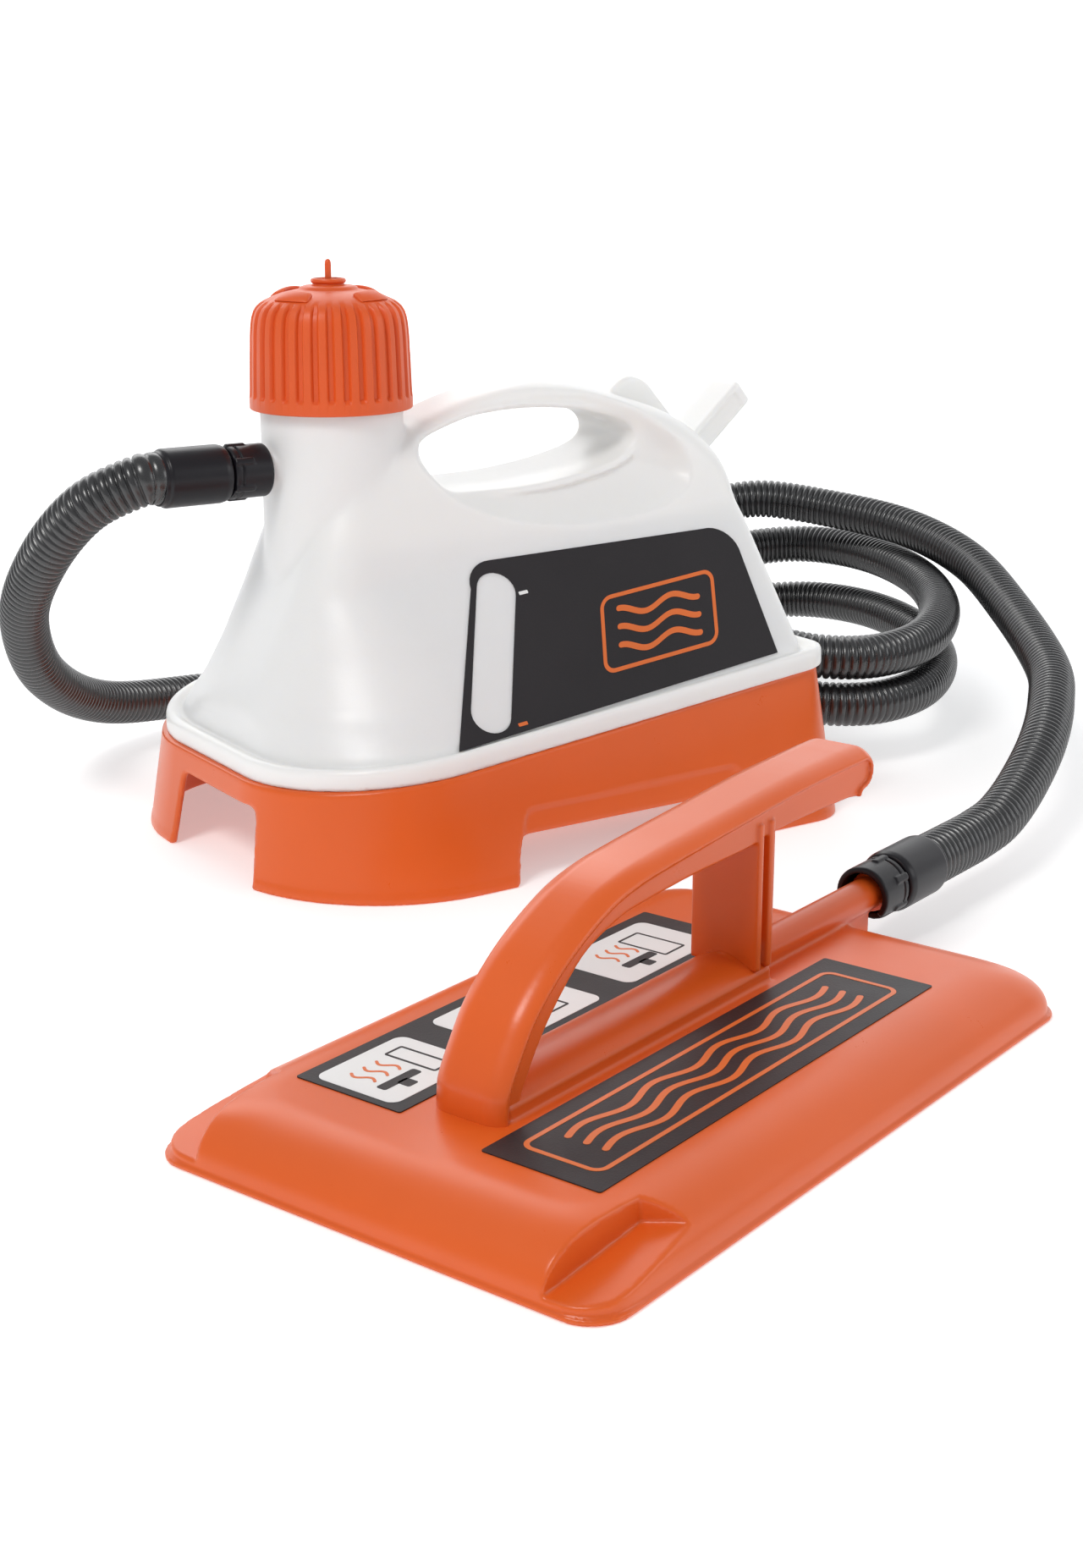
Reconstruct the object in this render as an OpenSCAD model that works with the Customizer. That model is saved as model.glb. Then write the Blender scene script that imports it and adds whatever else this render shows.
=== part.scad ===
// Wallpaper steamer: a wedge base with a heater, a blow-moulded water tank with a screw filler cap,
// a corrugated hose with bayonet nuts, and a hand-held steam plate lying on the floor beside it.
// Tank axes: X runs from the front (filler neck) to the rear, Y to the far side, Z up from the floor.

/* [Base] */
// Length of the base at the floor
base_l = 288; // [280:1:296]
// Width of the base at the floor
base_w = 222; // [216:1:228]
// Corner radius at the front of the base
front_r = 80; // [74:1:86]
// Corner radius at the rear of the base
rear_r = 24; // [22:1:28]
// Distance that the base wall leans in between the floor and the tank
draft = 9.5; // [8:0.5:11]
// Height of the tank's underside at the front end
deck_front = 43; // [42:1:45]
// Height of the tank's underside at the rear end
deck_rear = 73; // [71:1:75]
// Wall thickness of the base moulding
base_wall = 3; // [2.5:0.5:3.5]

/* [Tank] */
// Height of the flange that sits on the base
flange_h = 9; // [8:1:10]
// Width of the ledge between the flange edge and the tank wall
ledge_w = 7; // [6:1:8]
// Wall thickness of the tank
tank_wall = 3; // [2.5:0.5:3.5]
// Distance of the neck's axis from the middle of the base
neck_x = -70; // [-72:1:-68]
// Outer radius of the filler neck
neck_r = 31; // [30:0.5:31.5]
// Height of the neck's mouth
neck_top = 232; // [230:1:233]
// Height of the steam outlet's axis
outlet_z = 169; // [166:1:171]
// Half the width of the carrying handle
grip_half = 19; // [18:0.5:20]

/* [Filler cap] */
// Radius of the cap's lower rim
cap_r = 36; // [35.5:0.5:37]
// Height of the cap's lower edge
cap_z = 191; // [190:1:193]
// Number of ribs around the cap
cap_ribs = 32; // [24:1:40]
// Height of the relief pin's tip
pin_top = 256; // [254:1:258]

/* [Hose] */
// Outer radius of the corrugated hose
hose_r = 10.5; // [10:0.25:10.5]
// Bore radius of the hose
hose_bore_r = 8; // [7.5:0.25:8.5]
// Rise of the hose in each full turn of the coil
coil_rise = 24; // [24:1:27]
// Half the length of the oval coil
coil_a = 135; // [130:1:138]
// Half the width of the oval coil
coil_b = 72; // [70:1:73]

/* [Steam plate] */
// Length of the steam plate
plate_l = 288; // [284:1:294]
// Width of the steam plate
plate_w = 178; // [174:1:184]
// Corner radius of the steam plate
plate_r = 14; // [12:1:16]
// Height of the plate's crowned top
crown_z = 20; // [19.5:0.5:21]
// Height of the handle's top
handle_z = 88; // [86:1:90]
// Width of the plate's handle
handle_w = 28; // [26:1:29]
// Height of the steam spigot's axis
spigot_z = 24; // [23.5:0.5:24.5]
// Angle between the plate and the tank
plate_turn = 18.6; // [16:0.1:20]

/* [Hidden] */
$fn = 64;
eps = 0.01;
soft_fn = 32;

deck_mid = (deck_front + deck_rear) / 2;
deck_tilt = atan((deck_rear - deck_front) / base_l);
big = 600;

// Tank wall, as half-widths against height above the tank's underside
tank_l = base_l - 2 * draft - 2 * ledge_w;
tank_w = base_w - 2 * draft - 2 * ledge_w;
wall_top_y = 43;
wall_top_h = 71;
wall_run = tank_w / 2 - wall_top_y;
wall_rise = wall_top_h - flange_h;
wall_angle = atan(wall_rise / wall_run);
label_t = 0.4;

screw_gap = 0.05;
run_gap = 0.06;

base_screw_at = [[-95, 52], [-95, -52], [0, 84], [0, -84], [95, 78], [95, -78]];
bay_l = 184;
bay_w = 120;
bay_x = 10;
cover_z = 11;
cover_t = 3;
cover_screw_at = [for (sx = [-1, 1], sy = [-1, 1]) [bay_x + sx * (bay_l / 2 - 9), sy * (bay_w / 2 - 9)]];

heater_x = 8;
heater_r = 50;
opening_r = 38;
heater_bolt_r = 44;
gasket_t = 1.5;
heater_t = 2.5;
element_r = 4;
leg_half = 16;

plate_x = -118;
plate_y = -297;
rib_top = 30;
rib_start = -98;
post_x = 50;
post_t = 10;
baffle_z = 9;
baffle_t = 1.5;
baffle_post_at = [for (x = [-60, 112], s = [-1, 1]) [x, s * 60]];
handle_screw_at = [[-87, 0], [post_x + post_t / 2, 9.5], [post_x + post_t / 2, -9.5]];
plate_wall = 3;
tube_start = post_x + post_t;
tube_r = 6.5;
web_z = baffle_z + baffle_t + 0.5;
duct_start = -80;
deck_inset = 0.96;

// Couplings, as distances along the outlet or the spigot
stub_r = 8;
flange_r = 9;
nut_r = 11.4;
nut_l = 18;
cuff_r = 12.5;
cuff_l = 29;
tail_r = 6.5;
tail_bore = 4.5;
seal_t = 1.5;
stub_end = 12;
tail_flange_t = 2;
barb_end = 44;
cuff_start = 22;
hose_start = 32;
spigot_end = 157;
outlet_x = neck_x - neck_r;

// Hose path
coil_c = [259, 67];
coil_turn = 56.3;
coil_z0 = 18;
coil_turns = 2;
coil_lean = 28;
plate_dir = [cos(plate_turn), sin(plate_turn), 0];
lead_l = 36;
spigot_tip = [plate_x, plate_y, spigot_z];
lead_s0 = spigot_end - stub_end + hose_start;
lead_s1 = lead_s0 + cuff_l - 10 + lead_l;
split_gap = 0.4;

function on_spigot(s) = spigot_tip + s * plate_dir;
function coil_point(a) =
    let (
        u = coil_b * cos(135 - a),
        v = coil_a * sin(135 - a),
        lean = coil_lean * (0.25 + 0.75 * a / (360 * coil_turns))
    )
    [
        coil_c[0] + v * cos(coil_turn) + u * sin(coil_turn),
        coil_c[1] + v * sin(coil_turn) - u * cos(coil_turn),
        coil_z0 + coil_rise * a / 360 + lean * (1 + sin(135 - a)) / 2
    ];

hose_way = concat(
    [
        [outlet_x - hose_start, 0, outlet_z],
        [outlet_x - hose_start - 10, 0, outlet_z],
        [outlet_x - hose_start - 20, 0, outlet_z],
        [outlet_x - hose_start - 28, 0, outlet_z],
        [-180, 15, 157],
        [-189, 44, 131],
        [-184, 84, 98],
        [-160, 125, 60],
        [-112, 172, 30],
        [-45, 195, 20],
        [30, 186, 20],
        [105, 172, 20],
        [180, 162, 21]
    ],
    [for (a = [0:30:360 * coil_turns]) coil_point(a)],
    [
        [303, 164, 97],
        [332, 128, 93],
        [345, 78, 88],
        [337, 20, 79],
        [308, -43, 66],
        [263, -112, 53],
        [232, -149, 44],
        [198, -177, 35.5],
        [164, -197, 29],
        on_spigot(lead_s1 + 34) + [0, 0, 0.8],
        on_spigot(lead_s1 + 12),
        on_spigot(lead_s1 + 1)
    ]
);

// Catmull-Rom curve through way, in steps pieces a span
function spline(p0, p1, p2, p3, t) =
    0.5 * (2 * p1 + (p2 - p0) * t + (2 * p0 - 5 * p1 + 4 * p2 - p3) * t * t
        + (3 * p1 - p0 - 3 * p2 + p3) * t * t * t);
function smooth(way, steps) =
    let (n = len(way))
    concat(
        [
            for (i = [0:n - 2], k = [0:steps - 1])
                spline(way[max(i - 1, 0)], way[i], way[i + 1], way[min(i + 2, n - 1)], k / steps)
        ],
        [way[n - 1]]
    );
function unit(v) = v / norm(v);
function tangent(path, i) = unit(path[min(i + 1, len(path) - 1)] - path[max(i - 1, 0)]);
function sideways(t) = unit(cross(t, [0, 0, 1]));

hose_path = smooth(hose_way, 3);
cable_x = 60;
cable_z = 38;
grip_r = 5.9;
cable_way = [
    [46, 18, 34],
    [54, 38, 36],
    [cable_x, 56, cable_z],
    [cable_x, 90, cable_z],
    [cable_x, 106, cable_z],
    [cable_x, 120, cable_z],
    [cable_x, 136, 28],
    [cable_x, 156, 12],
    [64, 184, 4],
    [76, 212, 4]
];
cable_r = 3.4;
cable_coil = [90, 262];
cable_coil_r = 45;
cable_turns = 3;
cable_path = concat(
    smooth(cable_way, 3),
    [
        for (a = [15:15:360 * cable_turns])
            [
                cable_coil[0] + cable_coil_r * sin(a - 15),
                cable_coil[1] - cable_coil_r * cos(a - 15),
                cable_r + 0.6 + 7.4 * a / 360
            ]
    ]
);
plug_c = [170, 262];
plug_size = [46, 50, 26];

// Middle of the floor area that the whole object covers
corner_x = plate_l / 2 - plate_r;
corner_y = plate_w / 2 - plate_r;
x_low = plate_x - corner_x * cos(plate_turn) - corner_y * sin(plate_turn) - plate_r;
y_low = plate_y - corner_x * sin(plate_turn) - corner_y * cos(plate_turn) - plate_r;
x_high = max([
    for (i = [0:len(hose_path) - 1]) hose_path[i][0] + hose_r * abs(sideways(tangent(hose_path, i))[0])
]);
y_high = cable_coil[1] + cable_coil_r + cable_r;
origin_x = -(x_low + x_high) / 2;
origin_y = -(y_low + y_high) / 2;

function arc(c, r, a0, a1, n) =
    [for (i = [0:n]) let (a = a0 + (a1 - a0) * i / n) [c[0] + r * cos(a), c[1] + r * sin(a)]];

module tank_frame() {
    translate([origin_x, origin_y, 0]) children();
}
module deck_frame() {
    tank_frame() translate([0, 0, deck_mid]) rotate([0, -deck_tilt, 0]) children();
}
module wall_frame() {
    deck_frame() translate([0, -tank_w / 2, flange_h]) rotate([wall_angle, 0, 0]) children();
}
module outlet_frame() {
    tank_frame() translate([outlet_x, 0, outlet_z]) rotate([0, -90, 0]) children();
}
module cap_frame() {
    tank_frame() translate([neck_x, 0, 0]) children();
}
module plate_frame() {
    tank_frame() translate([plate_x, plate_y, 0]) rotate([0, 0, plate_turn]) children();
}
module spigot_frame() {
    plate_frame() translate([0, 0, spigot_z]) rotate([0, 90, 0]) children();
}
module ring(r_out, r_in, z0, h) {
    translate([0, 0, z0]) difference() {
        cylinder(r = r_out, h = h);
        translate([0, 0, -1]) cylinder(r = r_in, h = h + 2);
    }
}
// Rounded rectangle with one radius at the front and another at the rear
module plan(l, w, rf, rr) {
    polygon([
        [-l / 2, rf - w / 2], [-l / 2, w / 2 - rf], [rf - l / 2, w / 2], [l / 2 - rr, w / 2],
        [l / 2, w / 2 - rr], [l / 2, rr - w / 2], [l / 2 - rr, -w / 2], [rf - l / 2, -w / 2]
    ]);
    for (s = [-1, 1]) {
        translate([rf - l / 2, s * (w / 2 - rf)]) circle(rf);
        translate([l / 2 - rr, s * (w / 2 - rr)]) circle(rr);
    }
}
// Rounded rectangle for a thin sheet
module sheet(l, w, r) {
    x = l / 2 - r;
    y = w / 2 - r;
    polygon(concat(
        arc([x, y], r, 0, 90, 6), arc([-x, y], r, 90, 180, 6),
        arc([-x, -y], r, 180, 270, 6), arc([x, -y], r, 270, 360, 6)
    ));
}
// Tube or rod along a path that never runs straight up
module sweep(path, r, sides) {
    n = len(path);
    rings = [
        for (i = [0:n - 1])
            let (t = tangent(path, i), s = sideways(t), u = cross(s, t))
            for (k = [0:sides - 1])
                path[i] + r * (cos(360 * k / sides) * s + sin(360 * k / sides) * u)
    ];
    quads = [
        for (i = [0:n - 2], k = [0:sides - 1])
            let (k2 = (k + 1) % sides)
            [i * sides + k, i * sides + k2, (i + 1) * sides + k2, (i + 1) * sides + k]
    ];
    ends = [[for (k = [sides - 1:-1:0]) k], [for (k = [0:sides - 1]) (n - 1) * sides + k]];
    polyhedron(rings, concat(quads, ends));
}

module above_deck(h) {
    deck_frame() translate([-big / 2, -big / 2, h]) cube([big, big, big]);
}
module below_deck(h) {
    deck_frame() translate([-big / 2, -big / 2, h - big]) cube([big, big, big]);
}

// Outline of the tank seen from the side, moved in by t
module side_shape(t) {
    polygon(concat(
        [[t - tank_l / 2, 30], [t - 127, 52], [t - 101, 122], [t - 84, 160], [t - 66, 184 - t]],
        [[-40, 184 - t], [-28, 188 - t], [-4, 196 - t], [22, 199 - t], [50, 196.5 - t], [76, 190 - t]],
        arc([92, 147], 38 - t, 80, 0, 10),
        [[tank_l / 2 - t, 84], [tank_l / 2 - t, 30]]
    ));
}
// Half-widths of the tank against height above its underside, moved in by t
module front_shape(t) {
    half = concat(
        [[tank_w / 2 - t, 0], [tank_w / 2 - t, flange_h], [wall_top_y - t, wall_top_h]],
        [[36 - t, 84], [30 - t, 98], [24 - t, 112], [grip_half + 1 - t, 121], [grip_half - t, 130]],
        arc([grip_half - 12, 136], 12 - t, 0, 80, 5),
        [[0, 150 - t]]
    );
    polygon(concat(half, [for (i = [len(half) - 2:-1:0]) [-half[i][0], half[i][1]]]));
}
module tank_form(t) {
    intersection() {
        tank_frame() translate([0, big / 2, 0]) rotate([90, 0, 0]) linear_extrude(big) side_shape(t);
        deck_frame() translate([-big / 2, 0, 0]) rotate([90, 0, 90]) linear_extrude(big) front_shape(t);
        tank_frame() linear_extrude(big)
            plan(tank_l - 2 * t, tank_w - 2 * t, front_r - draft - ledge_w - t, 12 - t);
    }
}
module flange_slab() {
    intersection() {
        tank_frame() translate([0, 0, 20]) linear_extrude(90)
            plan(base_l - 2 * draft + 1, base_w - 2 * draft + 1, front_r - draft, rear_r - draft);
        above_deck(0);
        below_deck(flange_h);
    }
}
module hand_opening() {
    tank_frame() translate([0, 60, 0]) rotate([90, 0, 0]) linear_extrude(120) polygon(concat(
        arc([-23, 172], 11, 100, 200, 5),
        arc([-8, 162], 12, 215, 280, 4),
        arc([58, 163], 13, 280, 350, 4),
        [[74, 176], [70, 181], [50, 184.5], [22, 186], [0, 185.5]]
    ));
}
module storage_horn() {
    tank_frame() translate([118, 0, 158]) rotate([0, 49, 0]) {
        translate([-5, -9.5, 0]) cube([10, 19, 34]);
        translate([-5, 0, 34]) rotate([0, 90, 0]) cylinder(r = 9.5, h = 10);
    }
}
module top_fin() {
    tank_frame() translate([0, 3, 0]) rotate([90, 0, 0]) linear_extrude(6)
        polygon([[76, 180], [80, 191], [88, 195.5], [97, 193], [112, 178]]);
}

module tank_body() {
    color("whitesmoke") difference() {
        union() {
            difference() {
                union() {
                    tank_form(0);
                    flange_slab();
                    cap_frame() translate([0, 0, 70]) cylinder(r = neck_r, h = neck_top - 70);
                    storage_horn();
                    top_fin();
                    outlet_frame() translate([0, 0, -4]) cylinder(r = stub_r, h = stub_end + 4);
                }
                hand_opening();
                intersection() {
                    tank_form(tank_wall);
                    above_deck(tank_wall);
                    tank_frame() translate([-big / 2, -big / 2, 0]) cube([big, big, 146]);
                }
            }
            deck_frame() for (p = base_screw_at)
                translate([p[0] * deck_inset, p[1] * deck_inset, 0]) cylinder(r = 5, h = 14);
            deck_frame() translate([heater_x, 0, 0]) cylinder(r = heater_r, h = 8);
            cap_frame() for (z = [205, 213, 221]) translate([0, 0, z])
                rotate_extrude() polygon([[neck_r - 1, -2], [neck_r + 1.6, 0], [neck_r - 1, 2]]);
        }
        cap_frame() translate([0, 0, 100]) cylinder(r = neck_r - 4, h = neck_top);
        outlet_frame() translate([0, 0, -12]) cylinder(r = 5.5, h = 40);
        deck_frame() {
            translate([heater_x, 0, -1]) cylinder(r = opening_r, h = 20);
            for (p = base_screw_at) translate([p[0] * deck_inset, p[1] * deck_inset, -1])
                cylinder(r = 2, h = 11);
            translate([heater_x, 0, -1]) for (k = [0:5])
                rotate([0, 0, 60 * k]) translate([heater_bolt_r, 0, 0]) cylinder(r = 2, h = 7);
        }
    }
}

module capsule(a, b, r) {
    d = unit([b[0] - a[0], b[1] - a[1]]);
    n = [-d[1], d[0]];
    polygon([a + r * n, a - r * n, b - r * n, b + r * n]);
    translate(a) circle(r);
    translate(b) circle(r);
}
module tank_label() {
    color("dimgray") wall_frame() linear_extrude(label_t) difference() {
        polygon(concat(
            [[-65, 0.6], [108.5, 1.5]],
            arc([103.5, 56.5], 13, -5, 92, 6),
            arc([-12, 67], 13, 82, 172, 6)
        ));
        capsule([-43, 12.2], [-13.6, 64.9], 9.2);
    }
}

// Drafted solid of the base, moved in by t
module base_solid(t, z0) {
    top_in = draft * 84 / deck_mid;
    tank_frame() hull() {
        translate([0, 0, z0]) linear_extrude(eps)
            plan(base_l - 2 * t, base_w - 2 * t, front_r - t, rear_r - t, $fn = 48);
        translate([0, 0, 84]) linear_extrude(eps) plan(
            base_l - 2 * t - 2 * top_in, base_w - 2 * t - 2 * top_in,
            front_r - t - top_in, max(rear_r - t - top_in, 3), $fn = 48
        );
    }
}
module leg_arches() {
    tank_frame() {
        for (s = [-1, 1]) translate([0, s * 97 + 25, 0]) rotate([90, 0, 0]) linear_extrude(50)
            polygon([[-47, -1], [-41, 21], [57, 21], [94, -1]]);
        translate([-175, 0, 0]) rotate([90, 0, 90]) linear_extrude(80)
            polygon([[-50, -1], [-46, 34], [22, 34], [26, -1]]);
        translate([110, 0, 0]) rotate([90, 0, 90]) linear_extrude(60)
            polygon([[-66, -1], [-60, 20], [60, 20], [66, -1]]);
    }
}
module base_housing() {
    color("orangered") difference() {
        union() {
            difference() {
                base_solid(0.3, 1);
                base_solid(base_wall, -1);
            }
            tank_frame() linear_extrude(4) difference() {
                plan(base_l, base_w, front_r, rear_r);
                plan(base_l - 7, base_w - 7, front_r - 3.5, rear_r - 3.5);
            }
            intersection() {
                base_solid(1, 1);
                deck_frame() translate([-big / 2, -big / 2, -3]) cube([big, big, 3]);
            }
            intersection() {
                tank_frame() translate([bay_x, 0, cover_z + cover_t]) linear_extrude(80) difference() {
                    plan(bay_l, bay_w, 12, 12);
                    plan(bay_l - 5, bay_w - 5, 9.5, 9.5);
                }
                below_deck(-1);
            }
            deck_frame() for (p = base_screw_at)
                translate([p[0] * deck_inset, p[1] * deck_inset, -14]) cylinder(r = 5, h = 12);
            intersection() {
                tank_frame() for (p = cover_screw_at)
                    translate([p[0], p[1], cover_z + cover_t]) cylinder(r = 5, h = 60);
                below_deck(-1);
            }
        }
        leg_arches();
        above_deck(0);
        deck_frame() {
            translate([heater_x, 0, -6]) cylinder(r = heater_r + 3, h = 8);
            for (p = base_screw_at) translate([p[0] * deck_inset, p[1] * deck_inset, -20])
                cylinder(r = 2 + screw_gap, h = 24);
        }
        tank_frame() {
            for (p = cover_screw_at) translate([p[0], p[1], 0]) cylinder(r = 1.5 + screw_gap, h = 34);
            translate([cable_x, 40, cable_z]) rotate([-90, 0, 0]) cylinder(r = grip_r + 0.1, h = 90);
        }
    }
}
module base_cover() {
    color("orangered") tank_frame() difference() {
        translate([bay_x, 0, cover_z]) linear_extrude(cover_t) sheet(bay_l, bay_w, 12);
        for (p = cover_screw_at) translate([p[0], p[1], 0]) cylinder(r = 1.5 + screw_gap, h = 40);
        for (k = [-2:2]) translate([bay_x + 14 * k - 2, -25, 0]) cube([4, 50, 40]);
    }
}
module screw(shank_r, head_r, length, head_h) {
    cylinder(r = shank_r, h = length);
    translate([0, 0, -head_h]) difference() {
        cylinder(r = head_r, h = head_h);
        for (a = [0, 90]) rotate([0, 0, a]) translate([-head_r * 0.7, -0.5, -1])
            cube([head_r * 1.4, 1, 1 + head_h / 2]);
    }
}
module base_screws() {
    color("silver") deck_frame() for (p = base_screw_at)
        translate([p[0] * deck_inset, p[1] * deck_inset, -14]) screw(2 - screw_gap, 4, 23, 2.5);
}
module cover_screws() {
    color("silver") tank_frame() for (p = cover_screw_at)
        translate([p[0], p[1], cover_z]) screw(1.5, 3, 21, 2);
}

module heater_frame() {
    deck_frame() translate([heater_x, 0, 0]) children();
}
module heater_holes(r) {
    for (k = [0:5]) rotate([0, 0, 60 * k]) translate([heater_bolt_r, 0, -20]) cylinder(r = r, h = 40);
}
module heater_plate() {
    color("silver") heater_frame() difference() {
        translate([0, 0, -gasket_t - heater_t]) cylinder(r = heater_r, h = heater_t);
        heater_holes(2.2);
        for (s = [-1, 1]) translate([s * leg_half, 0, -20]) cylinder(r = element_r, h = 40);
    }
}
module heater_gasket() {
    color("darkslategray") heater_frame() difference() {
        ring(heater_r, opening_r, -gasket_t, gasket_t);
        heater_holes(2.2);
    }
}
module heater_element() {
    color("gray") heater_frame() {
        for (s = [-1, 1]) translate([s * leg_half, 0, -14]) cylinder(r = element_r, h = 28);
        for (s = [-1, 1]) translate([s * leg_half, 0, -20]) cylinder(r = 1.5, h = 7);
        for (s = [-1, 1]) translate([s * leg_half, 0, 14]) sphere(r = element_r);
        for (s = [-1, 1]) translate([s * leg_half, 0, 14]) rotate([0, s * 90, 0])
            cylinder(r = element_r, h = 28 - leg_half);
        translate([0, 0, 14]) rotate_extrude() translate([28, 0]) circle(r = element_r, $fn = 32);
    }
}
module heater_screws() {
    color("silver") heater_frame() for (k = [0:5]) rotate([0, 0, 60 * k])
        translate([heater_bolt_r, 0, -gasket_t - heater_t]) screw(2 - screw_gap, 3.5, 9, 2.4);
}
module thermostat() {
    color("tan") heater_frame() translate([0, -22, -gasket_t - heater_t - 9]) {
        cylinder(r = 8.5, h = 9);
        for (s = [-1, 1]) translate([s * 9 - 3, -0.4 - 3, -5]) cube([6, 0.8, 7]);
    }
}
module thermostat_bracket() {
    color("silver") heater_frame() translate([0, -22, -gasket_t - heater_t]) difference() {
        translate([-17, -11, -1]) cube([34, 22, 1]);
        translate([0, 0, -2]) cylinder(r = 8.6, h = 4);
    }
}
module thermal_fuse() {
    color("ivory") heater_frame() translate([0, 22, -gasket_t - heater_t - 2.6]) rotate([0, 90, 0]) {
        translate([0, 0, -9]) cylinder(r = 2.5, h = 18);
        translate([0, 0, -15]) cylinder(r = 0.8, h = 30);
    }
}
block_c = [58, 0, 30];
module terminal_block() {
    color("white") tank_frame() translate(block_c) difference() {
        translate([-8, -18, -8]) cube([16, 36, 16]);
        for (y = [-11, 0, 11]) translate([0, y, 0]) {
            translate([-10, 0, 0]) rotate([0, 90, 0]) cylinder(r = 2.2, h = 20);
            translate([0, 0, 2]) cylinder(r = 2.4, h = 8);
        }
    }
}
module wire(y, tip) {
    tank_frame() sweep(smooth([
        block_c + [-7, y, 0],
        block_c + [-15, y, -1],
        block_c + [-24, y * 0.8 + tip[1] * 0.2, -5],
        tip + [9, 0, -5],
        tip
    ], 4), 1.2, 10);
}
module live_wire() {
    color("saddlebrown") wire(-11, [26, -4, 33]);
}
module neutral_wire() {
    color("steelblue") wire(0, [27, 5, 33]);
}
module earth_wire() {
    color("yellowgreen") wire(11, [24, 14, 36]);
}
module cord_grip() {
    color("black") tank_frame() translate([cable_x, 0, cable_z]) rotate([-90, 0, 0]) difference() {
        union() {
            translate([0, 0, 100]) cylinder(r = grip_r, h = 8);
            translate([0, 0, 107]) cylinder(r1 = 8.5, r2 = 7.5, h = 3);
            translate([0, 0, 109.5]) cylinder(r1 = 6, r2 = 4.6, h = 10);
        }
        translate([0, 0, 90]) cylinder(r = cable_r + 0.1, h = 60);
    }
}
module mains_cable() {
    color("black") tank_frame() sweep(cable_path, cable_r, 12);
}
module plug_body() {
    color("black") tank_frame() translate([plug_c[0], plug_c[1], plug_size[2] / 2]) hull() {
        for (sx = [-1, 1], sy = [-1, 1], sz = [-1, 1])
            translate([sx * (plug_size[0] / 2 - 5), sy * (plug_size[1] / 2 - 5), sz * (plug_size[2] / 2 - 5)])
                sphere(r = 5, $fn = 24);
    }
}
module plug_pins() {
    pin_z = plug_size[2] / 2;
    color("gold") tank_frame() translate([plug_c[0] + plug_size[0] / 2, plug_c[1], pin_z]) {
        translate([0, -2, 1.5]) cube([22, 4, 8]);
        for (s = [-1, 1]) translate([0, s * 11 - 3.2, -8]) cube([18, 6.4, 4]);
    }
}

module cap_outline() {
    polygon([
        [0, cap_z], [cap_r, cap_z], [cap_r, cap_z + 6], [cap_r - 1, cap_z + 7], [34.6, 230], [33.2, 235],
        [30.5, 238.5], [26, 240.5], [16, 242.5], [11, 243], [11, 244], [7.3, 244], [7.3, 248], [0, 248]
    ]);
}
module filler_cap() {
    color("orangered") cap_frame() difference() {
        intersection() {
            rotate_extrude($fn = 96) cap_outline();
            union() {
                for (k = [0:cap_ribs - 1]) rotate([0, 0, 360 * k / cap_ribs])
                    translate([0, 0, cap_z]) translate([30, -1.7, 0]) cube([8, 3.4, 60]);
                translate([0, 0, cap_z]) cylinder(r = cap_r + 1, h = 6.5);
                translate([0, 0, cap_z]) cylinder(r = 34, h = 60);
            }
        }
        translate([0, 0, cap_z - 1]) cylinder(r = 33, h = 234.6 - cap_z + 1);
        translate([0, 0, 224]) cylinder(r = 6, h = 40);
    }
    color("orangered") cap_frame() difference() {
        union() {
            ring(9, 2.4, 221.5, 2.5);
            ring(9, 6, 223.9, 11);
            ring(7.3, 6, 234, 14);
        }
        translate([0, 0, 239]) cylinder(r = 6, h = 20);
    }
}
module cap_seal() {
    color("dimgray") cap_frame() ring(32.4, 27.2, neck_top + 0.05, 2.45);
}
module valve_pin() {
    color("orangered") cap_frame() {
        translate([0, 0, 224.05]) cylinder(r = 5.2, h = 2);
        translate([0, 0, 226]) cylinder(r = 1.3, h = pin_top - 226);
        translate([0, 0, 222]) cylinder(r = 2, h = 2.2);
    }
}
module valve_spring() {
    coil_n = 6;
    coil_h = 16.4;
    path = [
        for (a = [0:20:360 * coil_n])
            [3.9 * cos(a), 3.9 * sin(a), 226.7 + coil_h * a / (360 * coil_n)]
    ];
    color("silver") cap_frame() sweep(path, 0.45, 6);
}
module valve_retainer() {
    color("dimgray") cap_frame() ring(6, 1.3 + run_gap, 244, 2.5);
}

// The coupling parts share one set of shapes, drawn along +Z from the end of a stub
module coupling_seal() {
    ring(stub_r, 5.5, stub_end, seal_t);
}
module coupling_tail() {
    tail_z = stub_end + seal_t;
    difference() {
        union() {
            translate([0, 0, tail_z]) cylinder(r = flange_r, h = tail_flange_t);
            translate([0, 0, tail_z]) cylinder(r = tail_r, h = barb_end - tail_z);
            for (z = [barb_end - 3, barb_end - 8]) translate([0, 0, z])
                cylinder(r1 = tail_r + 0.8, r2 = tail_r, h = 3);
        }
        translate([0, 0, tail_z - 1]) cylinder(r = tail_bore, h = barb_end);
    }
}
module coupling_nut(z0) {
    inner_end = stub_end + seal_t + tail_flange_t + 0.2;
    difference() {
        translate([0, 0, z0]) cylinder(r = nut_r, h = nut_l);
        translate([0, 0, z0 - 1]) cylinder(r = flange_r + run_gap, h = inner_end - z0 + 1);
        translate([0, 0, z0]) cylinder(r = tail_r + run_gap, h = nut_l + 1);
    }
}
module coupling_cuff() {
    difference() {
        translate([0, 0, cuff_start]) cylinder(r = cuff_r, h = cuff_l);
        translate([0, 0, cuff_start - 1]) cylinder(r = tail_r, h = cuff_l + 2);
        translate([0, 0, hose_start - 0.5]) cylinder(r = hose_r + 0.1, h = cuff_l);
    }
}
module tank_nut() {
    color("black") outlet_frame() coupling_nut(3);
}
module tank_cuff() {
    color("black") outlet_frame() coupling_cuff();
}
module tank_hose_tail() {
    color("black") outlet_frame() coupling_tail();
}
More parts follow.
